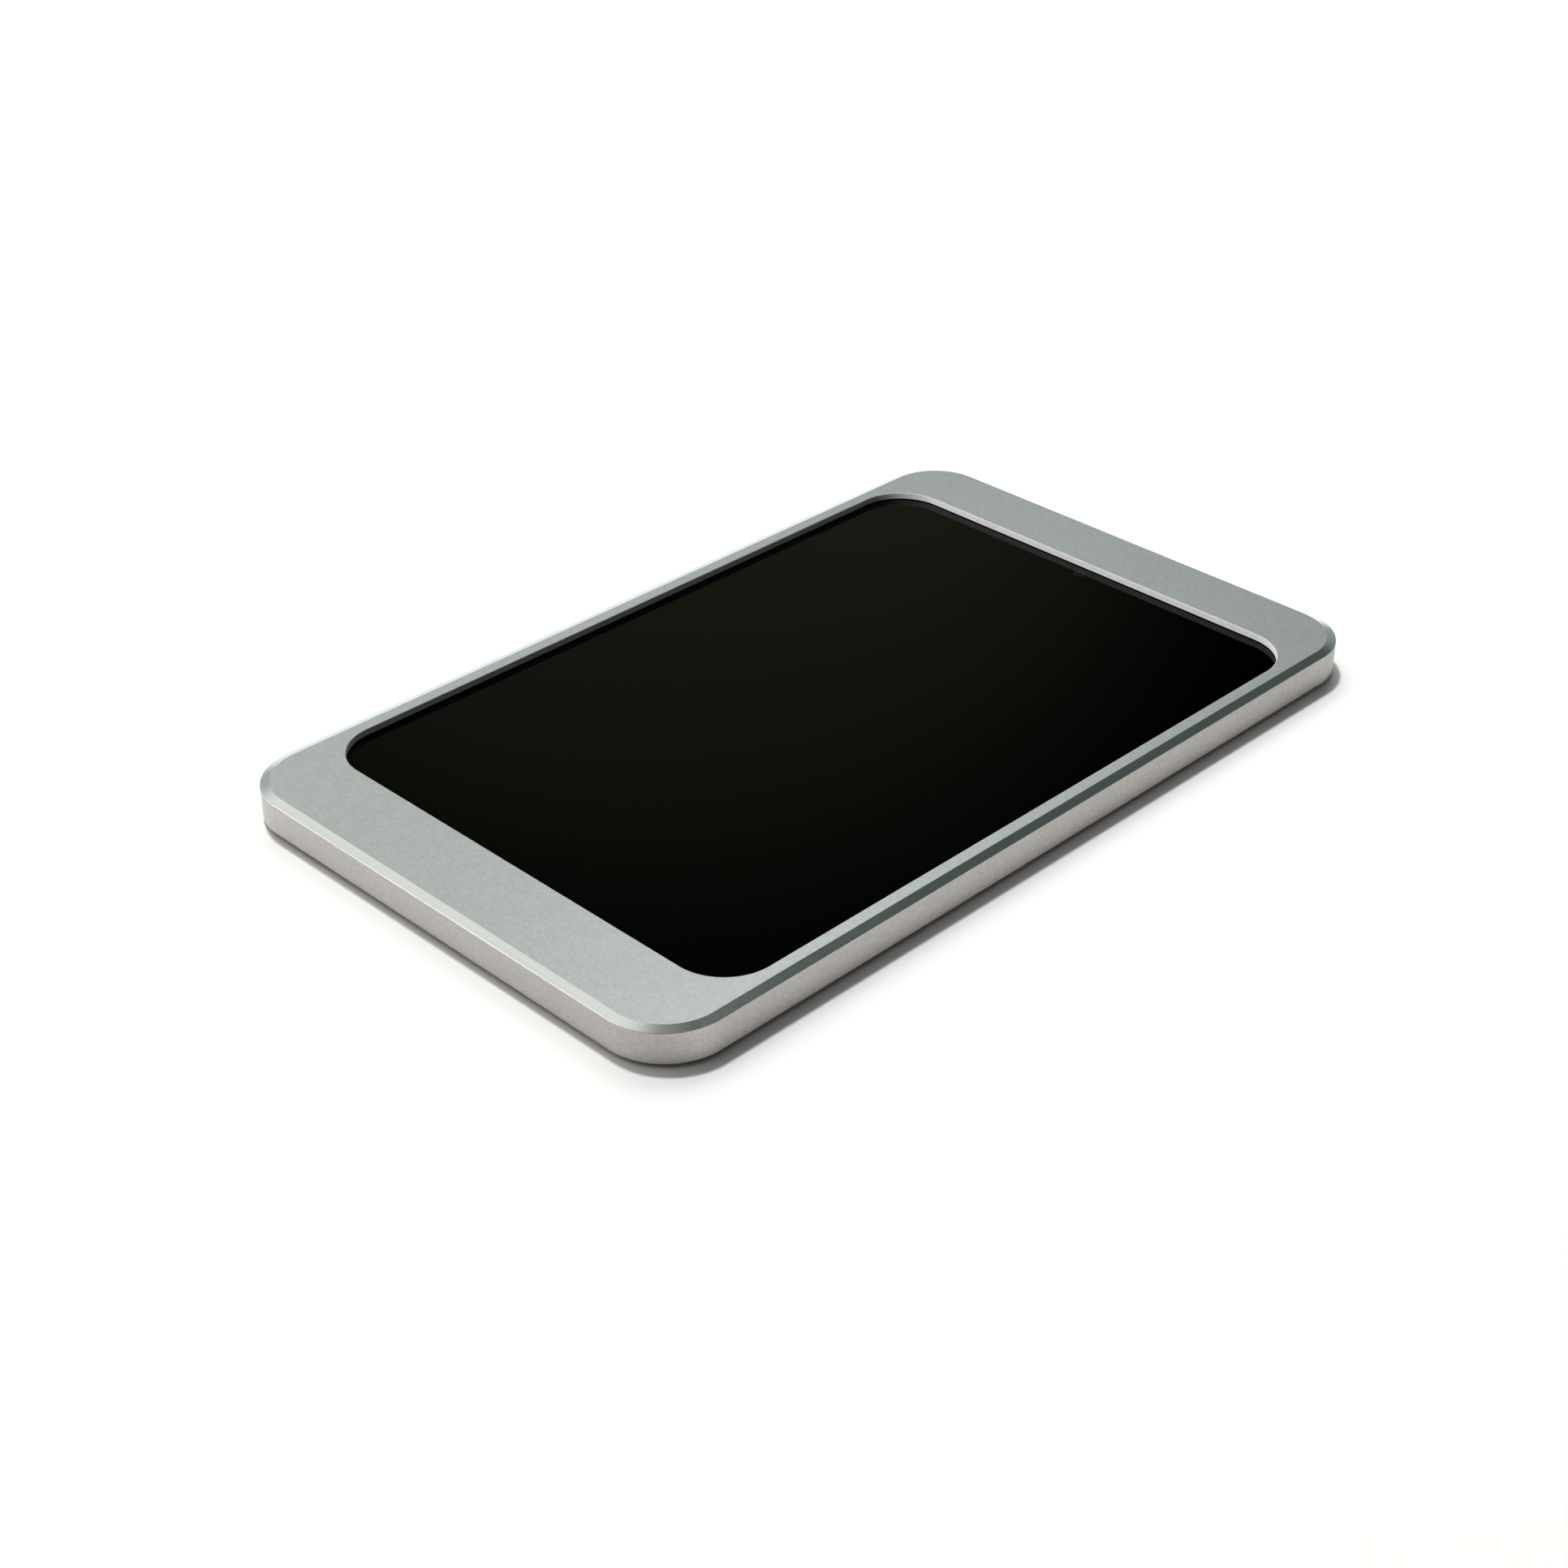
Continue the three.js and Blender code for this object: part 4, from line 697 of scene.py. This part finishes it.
def build_housing():
    shape = Shape()
    outer = eased(
        [
            (WALL, LIP_UNDERSIDE),
            (WALL, BOTTOM),
            (0, BOTTOM),
            (0, TOP - CHAMFER_DROP),
            (CHAMFER_WIDTH, TOP),
            (2 * CHAMFER_WIDTH, TOP),
        ],
        (0.08 * MM, 0.3 * MM, 0.14 * MM, 0.16 * MM),
        steps=4,
    )[:-1]
    inner = eased(
        [(-MM, TOP), (0, TOP), (0, LIP_UNDERSIDE), (-MM, LIP_UNDERSIDE)],
        (0.22 * MM, 0.05 * MM),
        steps=5,
    )[1:-1]
    rings = [(ring_on(shape, OUTER, inset, level), inset, level) for inset, level in outer]
    chamfer_low = TOP - CHAMFER_DROP
    sliver, inside = 0.02 * MM, 0.1 * MM
    for (low, inset, level), (high, inset_high, level_high) in zip(rings, rings[1:]):
        middle = (level + level_high) / 2
        finish = ON_WALL
        if middle > chamfer_low + sliver:
            finish = ON_CHAMFER
        if inset_high > CHAMFER_WIDTH - sliver:
            finish = ON_TOP
        if min(inset, inset_high) > WALL - inside and middle < LIP_UNDERSIDE:
            finish = ON_EDGE
        shape.band(low, high, finish)
    lips = [ring_on(shape, OPENING, inset, level) for inset, level in inner]
    shape.band(rings[-1][0], lips[0], ON_TOP)
    for number, (low, high) in enumerate(zip(lips, lips[1:])):
        shape.band(low, high, ON_TOP if number < 2 else ON_EDGE)
    shape.band(lips[-1], rings[0][0], ON_EDGE)
    housing = shape.piece("housing_shell", *HOUSING_METALS)

    posts = Shape()
    post_steps = 32
    into_lip = LIP_UNDERSIDE + 0.5 * MM
    sleeve_low = frame_high.z + 0.05 * MM
    for spot in screw_spots[:POST_SCREWS]:
        posts.turn(
            spot,
            [
                (SLEEVE_BORE, sleeve_low),
                (SLEEVE_RADIUS, sleeve_low),
                (SLEEVE_RADIUS, into_lip),
                (SLEEVE_BORE, into_lip),
            ],
            ON_EDGE,
            post_steps,
        )
    for spot in PORT_POSTS:
        posts.turn(
            spot,
            [
                (0, socket_low.z),
                (PORT_POST_RADIUS, socket_low.z),
                (PORT_POST_RADIUS, into_lip),
                (0, into_lip),
            ],
            ON_EDGE,
            post_steps,
        )
    carve(housing, posts.piece("posts", *HOUSING_METALS), "UNION")

    key_half = (KEY_LENGTH / 2 + SLOT_CLEARANCE, KEY_HEIGHT / 2 + SLOT_CLEARANCE)
    for name in ("volume_up_button", "volume_down_button"):
        carve(housing, wall_cutter(left_wall(spot_of(name)[1], KEY_LEVEL), *key_half))
    carve(housing, wall_cutter(far_wall(spot_of("power_button")[0], KEY_LEVEL), *key_half))
    gap = 0.18 * MM
    half_x = socket_high.x + gap
    half_z = (socket_high.z - socket_low.z) / 2 + gap
    carve(housing, wall_cutter(far_wall(0, KEY_LEVEL), half_x, half_z, 0.2 * MM))
    for name in ("microphone_left", "microphone_right"):
        low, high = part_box(name)
        hole = 0.5 * MM
        place = far_wall((low.x + high.x) / 2, (low.z + high.z) / 2)
        carve(housing, wall_cutter(place, hole + HAIR, hole, 0.08 * MM))
    return housing


housing = build_housing()
mount(housing, "housing", "housing_aluminium", "front_housing")

# ---------------------------------------------------------------- cover glass

shape = Shape()
half_y = (glass_high.y - glass_low.y) / 2
soft = 0.1 * MM
profile = eased(
    [(2 * soft, glass_low.z), (0, glass_low.z), (0, glass_high.z), (2 * soft, glass_high.z)],
    (soft, soft),
    steps=3,
)[1:-1]
shape.slab(glass_high.x, half_y, OPENING_RADIUS + GLASS_OVERLAP, profile, OPENING[3])
glass = shape.piece("display_cover", display_glass)
mount(glass, "housing", "display_glass", "cover_glass")

# ---------------------------------------------------------------- side keys


def build_key(name, node, body, place):
    """Key cap with a rounded crown, its retaining flange and the nub that presses the switch."""
    shape = Shape(place)
    flange_out = -WALL - 0.1 * MM
    flange_in = flange_out - 0.7 * MM
    overlap = 0.3 * MM
    crown = eased(
        [(0, flange_out - overlap), (0, KEY_STANDOFF), (KEY_HEIGHT / 2, KEY_STANDOFF)],
        (0.22 * MM,),
        steps=5,
    )
    half_x, half_y = KEY_LENGTH / 2, KEY_HEIGHT / 2
    shape.stack([(pill(half_x, half_y, -inset), level) for inset, level in crown[:-1]])
    key = shape.piece(name, key_metal)
    shape = Shape(place)
    rim = 0.8 * MM
    edge = 0.1 * MM
    shape.slab(
        half_x + rim,
        half_y + rim,
        rim,
        [(edge, flange_in), (0, flange_in + edge), (0, flange_out - edge), (edge, flange_out)],
        steps=6,
    )
    carve(key, shape.piece("flange", key_metal), "UNION")
    shape = Shape(place)
    nub_radius = 0.8 * MM
    shape.turn(
        (0, 0),
        [
            (0, flange_in - overlap),
            (nub_radius - edge, flange_in - overlap),
            (nub_radius, flange_in - overlap + edge),
            (nub_radius, flange_in + overlap),
            (0, flange_in + overlap),
        ],
        steps=32,
    )
    carve(key, shape.piece("nub", key_metal), "UNION")
    mount(key, body, "key_aluminium", node)


build_key("power_key", "power_button", "power_button", far_wall(spot_of("power_button")[0], KEY_LEVEL))
for name in ("volume_up", "volume_down"):
    button = f"{name}_button"
    build_key(f"{name}_key", button, button, left_wall(spot_of(button)[1], KEY_LEVEL))

# ---------------------------------------------------------------- rear cover, screws and feet


def build_cover():
    cover_top = BOTTOM + COVER_THICKNESS
    radius = CORNER_RADIUS - WALL - (HALF_X - WALL - cover_high.x)
    profile = eased(
        [(MM, BOTTOM), (0, BOTTOM), (0, cover_top), (MM, cover_top)],
        (0.35 * MM, 0.1 * MM),
        steps=4,
    )[1:-1]
    shape = Shape()
    shape.slab(cover_high.x, cover_high.y, radius, profile)
    cover = shape.piece("rear_panel", cover_plastic)
    pads = Shape()
    for spot in PORT_POSTS:
        pads.turn(
            spot,
            [
                (0, cover_top - 0.5 * MM),
                (PORT_POST_RADIUS, cover_top - 0.5 * MM),
                (PORT_POST_RADIUS, cover_high.z),
                (0, cover_high.z),
            ],
            steps=32,
        )
    carve(cover, pads.piece("pads", cover_plastic), "UNION")

    holes = Shape()
    below = BOTTOM - MM
    above = cover_top + MM
    seat = BOTTOM + 0.6 * MM
    recess = BOTTOM + FOOT_RECESS
    ease = 0.12 * MM
    for spot in screw_spots:
        holes.turn(
            spot,
            [
                (0, below),
                (SCREW_SEAT_RADIUS + ease + MM, below),
                (SCREW_SEAT_RADIUS, BOTTOM + ease),
                (SCREW_SEAT_RADIUS, seat),
                (SCREW_HOLE_RADIUS, seat),
                (SCREW_HOLE_RADIUS, above),
                (0, above),
            ],
            steps=48,
        )
    for number in range(1, 5):
        low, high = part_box(f"foot_{number}")
        reach = (high.x - low.x) / 2 + 0.1 * MM
        holes.turn(
            spot_of(f"foot_{number}"),
            [
                (0, below),
                (reach + ease + MM, below),
                (reach, BOTTOM + ease),
                (reach, recess),
                (0, recess),
            ],
        )
    reach = (ring_high.x - ring_low.x) / 2 + 0.12 * MM
    holes.turn(
        spot_of("rear_camera_ring"),
        [(0, below), (reach + ease + MM, below), (reach, BOTTOM + ease), (reach, above), (0, above)],
    )
    slot = 0.5 * MM
    for name in ("speaker_mesh_left", "speaker_mesh_right"):
        middle_x, middle_y = spot_of(name)
        for i in range(SPEAKER_SLOTS):
            spot = (middle_x + (i - (SPEAKER_SLOTS - 1) / 2) * SPEAKER_PITCH, middle_y)
            holes.stack(
                [
                    (outline(slot - inset, 3.5 * MM - inset, slot - inset - HAIR, spot, 8), level)
                    for inset, level in (
                        (-ease - slot, BOTTOM - slot),
                        (0, BOTTOM + ease),
                        (0, above),
                    )
                ]
            )
    carve(cover, holes.piece("holes", cover_plastic))
    return cover


mount(build_cover(), "housing", "cover_plastic", "rear_cover")

for number, spot in enumerate(screw_spots, 1):
    low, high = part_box(f"cover_screw_{number}")
    head_top = low.z + 0.5 * MM
    shape = Shape()
    shape.turn(
        spot,
        [
            (0, low.z + 0.32 * MM),
            (0.5 * MM, low.z + 0.3 * MM, 0.09 * MM),
            (0.55 * MM, low.z + 0.04 * MM, 0.1 * MM),
            (0.62 * MM, low.z, 0.09 * MM),
            (1.36 * MM, low.z),
            (1.46 * MM, low.z + 0.05 * MM),
            (SCREW_HEAD_RADIUS, low.z + 0.14 * MM),
            (SCREW_HEAD_RADIUS, head_top),
            (SCREW_SHAFT_RADIUS, head_top),
            (SCREW_SHAFT_RADIUS, high.z - SCREW_SHAFT_RADIUS / 2),
            (SCREW_SHAFT_RADIUS / 2, high.z),
            (0, high.z),
        ],
        steps=72,
        lobes=6,
    )
    screw = shape.piece(f"panel_screw_{number}", screw_steel)
    mount(screw, "housing", "screw_steel", f"cover_screw_{number}")

for number in range(1, 5):
    low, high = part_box(f"foot_{number}")
    radius = (high.x - low.x) / 2
    profile = eased(
        [(0, 0), (radius, 0), (radius, high.z), (0, high.z)], (0.4 * MM, 0.1 * MM), steps=6
    )
    groove = 0.08 * MM
    dished = [
        (0, 0.06 * MM),
        (radius * 0.45, 0.06 * MM),
        (radius * 0.52, 0),
        (radius * 0.7, 0),
        (radius * 0.72, groove),
        (radius * 0.76, groove),
        (radius * 0.78, 0),
        *[tuple(point) for point in profile[1:]],
    ]
    shape = Shape()
    shape.turn(spot_of(f"foot_{number}"), dished)
    mount(shape.piece(f"rubber_foot_{number}", foot_rubber), "housing", "foot_rubber", f"foot_{number}")

# ---------------------------------------------------------------- rear camera

centre = ((ring_low + ring_high) / 2).xy
ring_radius = (ring_high.x - ring_low.x) / 2
window_radius = (window_high.x - window_low.x) / 2
ledge = window_high.z + 0.03 * MM
shape = Shape()
shape.turn(
    centre,
    [
        tuple(point)
        for point in eased(
            [
                (window_radius + 0.05 * MM, ledge),
                (window_radius + 0.05 * MM, ring_low.z + 0.15 * MM),
                (window_radius + 0.2 * MM, ring_low.z),
                (ring_radius - 0.3 * MM, ring_low.z),
                (ring_radius, ring_low.z + 0.3 * MM),
                (ring_radius, ring_high.z),
                (window_radius - 0.5 * MM, ring_high.z),
                (window_radius - 0.5 * MM, ledge),
            ],
            (0.05 * MM, 0.05 * MM, 0.1 * MM, 0.1 * MM, 0.05 * MM, 0.05 * MM),
            steps=4,
        )
    ],
)
mount(shape.piece("camera_ring", housing_cut), "housing", "housing_aluminium", "rear_camera_ring")
shape = Shape()
shape.turn(
    centre,
    [
        tuple(point)
        for point in eased(
            [
                (0, window_low.z),
                (window_radius, window_low.z),
                (window_radius, window_high.z),
                (0, window_high.z),
            ],
            (0.12 * MM, 0.05 * MM),
            steps=4,
        )
    ],
)
mount(shape.piece("camera_window", lens_glass), "housing", "lens_glass", "rear_camera_window")

# ---------------------------------------------------------------- socket


def build_socket():
    half_x = socket_high.x
    half_z = (socket_high.z - socket_low.z) / 2
    place = far_wall(0, KEY_LEVEL)
    front, back = socket_high.y - HALF_Y, socket_low.y - HALF_Y
    sheet, edge, floor = 0.3 * MM, 0.06 * MM, back + 0.75 * MM
    shape = Shape(place)
    shape.stack(
        [
            (pill(half_x, half_z, -edge), back),
            (pill(half_x, half_z, 0), back + edge),
            (pill(half_x, half_z, 0), front - edge),
            (pill(half_x, half_z, -edge), front),
            (pill(half_x, half_z, edge - sheet), front),
            (pill(half_x, half_z, -sheet), front - edge),
            (pill(half_x, half_z, -sheet), floor),
        ]
    )
    mount(shape.piece("socket_shell", plated_steel), "housing", "plated_steel", "usb_socket_shell")

    shape = Shape(place)
    half_x, half_z = tongue_high.x, (tongue_high.z - tongue_low.z) / 2
    back = tongue_low.y - HALF_Y
    front = tongue_high.y - HALF_Y
    base = back + 1.43 * MM
    shape.stack(
        [
            (pill(half_x, half_z, 0), back),
            (pill(half_x, half_z, 0), base - edge),
            (pill(half_x, half_z, -edge), base),
        ]
    )
    tongue = shape.piece("socket_tongue", black_plastic, antenna_copper)
    shape = Shape(place)
    half = (3.345 * MM, 0.35 * MM)
    shape.slab(*half, 0.2 * MM, [(0, base - 0.5 * MM), (0, front - 0.15 * MM), (0.1 * MM, front)], steps=4)
    carve(tongue, shape.piece("blade", black_plastic, antenna_copper), "UNION")
    pads = Shape(place)
    wide, thick = 0.13 * MM, 0.03 * MM
    for side in (-1, 1):
        low = half[1] if side > 0 else -half[1] - thick
        for i in range(CONTACTS):
            x = (i - (CONTACTS - 1) / 2) * CONTACT_PITCH
            pads.box((x - wide, low, base + 0.7 * MM), (x + wide, low + thick, front - 0.5 * MM))
    contacts = pads.piece("socket_contacts", antenna_copper)
    return tongue, contacts


tongue, contacts = build_socket()
mount(tongue, "housing", "black_plastic", "usb_socket_tongue")
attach(contacts, "housing")

# ---------------------------------------------------------------- CAD pieces that stay

KEPT = {
    gasket_foam: ("glass_gasket",),
    display_film: ("touch_sensor",),
    panel_glass: ("lcd_panel",),
    backlight_plastic: ("backlight_unit",),
    circuit_board: ("display_driver_board", "battery_protection_board", "main_board", "port_board"),
    flex_film: (
        "display_flex",
        "display_cable",
        "battery_lead",
        "port_flex",
        "power_switch_board",
        "volume_switch_board",
    ),
    magnesium_frame: ("mid_frame",),
    battery_pouch: ("battery_cell_left", "battery_cell_right"),
    chip_package: ("processor", "memory_chip", "storage_chip", "wireless_chip", "light_sensor"),
    plated_steel: (
        "processor_shield",
        "wireless_shield",
        "microphone_left",
        "microphone_right",
        "power_switch",
        "volume_up_switch",
        "volume_down_switch",
    ),
    speaker_mesh: ("speaker_mesh_left", "speaker_mesh_right"),
    black_plastic: ("front_camera", "rear_camera", "speaker_left", "speaker_right"),
    graphite_film: ("graphite_sheet",),
    antenna_copper: ("antenna_left", "antenna_right"),
}
for material, nodes in KEPT.items():
    for node in nodes:
        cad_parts[node].material_slots[0].material = material


front_lens_glass = worked(
    "front_lens_glass", (0.004, 0.005, 0.008), (0.010, 0.010, 0.020), 0.06, 0.0, 400, 3000, 4e-7
)
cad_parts["front_camera_lens"].material_slots[0].material = front_lens_glass

# ---------------------------------------------------------------- floor, light and camera


def build_floor():
    shape = Shape()
    half = 6.0
    thick = 0.05
    shape.slab(half, half, 0.5, [(0.01, -thick), (0, -thick / 2), (0, 0)], steps=6)
    look = Look("floor_paper", Specular_IOR_Level=0.2, Roughness=0.9)
    tint = look.noise(3, 4)
    look.drive("Base Color", look.blend(tint, (0.86, 0.85, 0.84), (0.87, 0.86, 0.85)))
    look.drive("Normal", look.bump(look.noise(900, 2), 5e-6, 0.3))
    floor = shape.piece("floor", look.material)
    return floor


floor = build_floor()


def aim(thing, place, target):
    thing.location = place
    thing.rotation_euler = (Vector(target) - Vector(place)).to_track_quat("-Z", "Y").to_euler()


def heading(azimuth, elevation):
    """Unit vector at an angle anticlockwise from +X and an angle above the floor, in degrees."""
    a, e = math.radians(azimuth), math.radians(elevation)
    return Vector((math.cos(a) * math.cos(e), math.sin(a) * math.cos(e), math.sin(e)))


def softbox(name, azimuth, elevation, distance, width, height, power, colour, lit):
    """Area light aimed at the middle of the tablet, that reaches one thing only."""
    light = bpy.data.lights.new(name, "AREA")
    light.shape = "RECTANGLE"
    light.size, light.size_y = width, height
    light.energy = power
    light.color = colour
    made = bpy.data.objects.new(name, light)
    bpy.context.scene.collection.objects.link(made)
    aim(made, heading(azimuth, elevation) * distance, (0, 0, 0))
    receivers = bpy.data.collections.new(name + "_lit")
    receivers.objects.link(lit)
    made.light_linking.receiver_collection = receivers


WHITE = (1.0, 1.0, 1.0)
WARM = (1.0, 0.98, 0.98)

# name, azimuth, elevation, distance, width, height, watts, colour, what it reaches
softbox("floor_key", 160, 70, 4.5, 0.4, 0.4, 130, WHITE, floor)
softbox("floor_soft", 134, 48, 1.5, 1.0, 0.8, 11, WHITE, floor)
softbox("top_fill", 133, 61, 0.45, 0.15, 0.15, 0.35, (0.95, 1.0, 0.99), housing)
softbox("front_fill", 238, 20, 0.55, 0.3, 0.2, 2.2, WARM, housing)
softbox("side_fill", 0, 0.4, 0.45, 0.5, 0.006, 0.8, (1.0, 0.98, 0.97), housing)

# The studio's brightness by direction. A PLACE is (azimuth, elevation). A SIDE is two angles off
# a place, and a RISE, FOOT or HEAD two elevations, between which a region fades in. All in degrees.
KEY_PLACE = (190, 0)
KEY_EDGE = (0.1, 0.75)  # cosines of the angle off the key side
BRIGHT = (1.24, 1.24, 1.20)
HAZE = (0.55, 0.56, 0.55)
HAZE_RISE = (26, 40)
ZENITH = (0.28, 0.28, 0.27)
ZENITH_RISE = (66, 78)
DIM = (0.06, 0.06, 0.065)
FLAG = (0.006, 0.006, 0.006)
FLAG_PLACE = (119, 0)
FLAG_SIDE = (44, 27)
FLAG_FOOT = (9, 17)
FLAG_HEAD = (78, 66)
GLOW = (0.20, 0.215, 0.145)
GLOW_PLACE = (138, 24)
GLOW_SIDE = (14, 5)
FLAG_EDGE = (0.085, 0.115, 0.105)
CENTRE_PLACE = (134, 31)
CENTRE_SIDE = (22, 14)
CORNER = (0.36, 0.42, 0.40)
CORNER_PLACE = (106, 16)
CORNER_SIDE = (20, 9)
HORIZON = (1.38, 1.52, 1.54)
HORIZON_PLACE = (175, 0)
HORIZON_SIDE = (66, 54)
HORIZON_RISE = (13, 7)
FAR_HORIZON = (3.6, 3.5, 3.7)
FAR_PLACE = (122, 0)
FAR_SIDE = (18, 9)


def build_world():
    """Studio lit by direction: bright on the left and dim on the right, darker overhead.

    A dark flag with a faint glow in it stands beyond the far left, over a bright horizon.
    The camera itself sees plain white.
    """
    world = bpy.data.worlds.new("studio")
    bpy.context.scene.world = world
    world.use_nodes = True
    tree = world.node_tree
    tree.nodes.clear()

    def vector(operation, first, second=(0, 0, 0), output=0):
        inputs = {0: first, 1: second}
        return add_node(tree, "ShaderNodeVectorMath", inputs, operation=operation).outputs[output]

    def ease(value, low, high):
        return add_node(
            tree,
            "ShaderNodeMapRange",
            {"Value": value, "From Min": low, "From Max": high, "To Min": 0.0, "To Max": 1.0},
            interpolation_type="SMOOTHSTEP",
        ).outputs[0]

    def times(first, second):
        inputs = {0: first, 1: second}
        return add_node(tree, "ShaderNodeMath", inputs, operation="MULTIPLY").outputs[0]

    def mix(share, first, second):
        return add_blend(tree, share, first, second)

    def facing(direction, place):
        """Cosine of the angle between a direction and a place."""
        return vector("DOT_PRODUCT", direction, heading(*place), "Value")

    def around(direction, place, side):
        """1 near a place, fading from 0 between two angles off it."""
        outer, inner = (math.cos(math.radians(angle)) for angle in side)
        return ease(facing(direction, place), outer, inner)

    way = add_node(tree, "ShaderNodeTexCoord").outputs["Generated"]
    up = add_node(tree, "ShaderNodeSeparateXYZ", {0: way}).outputs[2]
    level = vector("NORMALIZE", vector("MULTIPLY", way, (1, 1, 0)))

    def rise(edge):
        """0 at one elevation and 1 at another."""
        start, end = (math.sin(math.radians(angle)) for angle in edge)
        return ease(up, start, end)

    lit = ease(facing(level, KEY_PLACE), *KEY_EDGE)
    sky = mix(lit, DIM, mix(rise(HAZE_RISE), HAZE, BRIGHT))
    sky = mix(rise(ZENITH_RISE), sky, ZENITH)
    cloth = mix(around(way, GLOW_PLACE, GLOW_SIDE), FLAG, GLOW)
    cloth = mix(around(way, CENTRE_PLACE, CENTRE_SIDE), FLAG_EDGE, cloth)
    covered = times(rise(FLAG_FOOT), rise(FLAG_HEAD))
    sky = mix(times(around(level, FLAG_PLACE, FLAG_SIDE), covered), sky, cloth)
    sky = mix(around(way, CORNER_PLACE, CORNER_SIDE), sky, CORNER)
    horizon = mix(around(level, FAR_PLACE, FAR_SIDE), HORIZON, FAR_HORIZON)
    strip = times(around(level, HORIZON_PLACE, HORIZON_SIDE), rise(HORIZON_RISE))
    sky = mix(strip, sky, horizon)
    seen = add_node(tree, "ShaderNodeLightPath").outputs["Is Camera Ray"]
    inputs = {"Color": mix(seen, sky, WHITE), "Strength": 1.0}
    background = add_node(tree, "ShaderNodeBackground", inputs)
    out = add_node(tree, "ShaderNodeOutputWorld")
    tree.links.new(background.outputs[0], out.inputs[0])


build_world()

scene = bpy.context.scene
scene.view_settings.view_transform = "Standard"

CAMERA_PLACE = Vector((0.3614, -0.3762, 0.3161))
CAMERA_SENSOR = 36
CAMERA_LENS = 61.03
CAMERA_AZIMUTH = -45.20
CAMERA_TILT = 32.28

camera_data = bpy.data.cameras.new("camera")
camera_data.sensor_width = CAMERA_SENSOR
camera_data.lens = CAMERA_LENS
camera_data.clip_start = 0.01
camera_data.clip_end = 50
camera = bpy.data.objects.new("camera", camera_data)
scene.collection.objects.link(camera)
aim(camera, CAMERA_PLACE, CAMERA_PLACE - heading(CAMERA_AZIMUTH, CAMERA_TILT))
scene.camera = camera
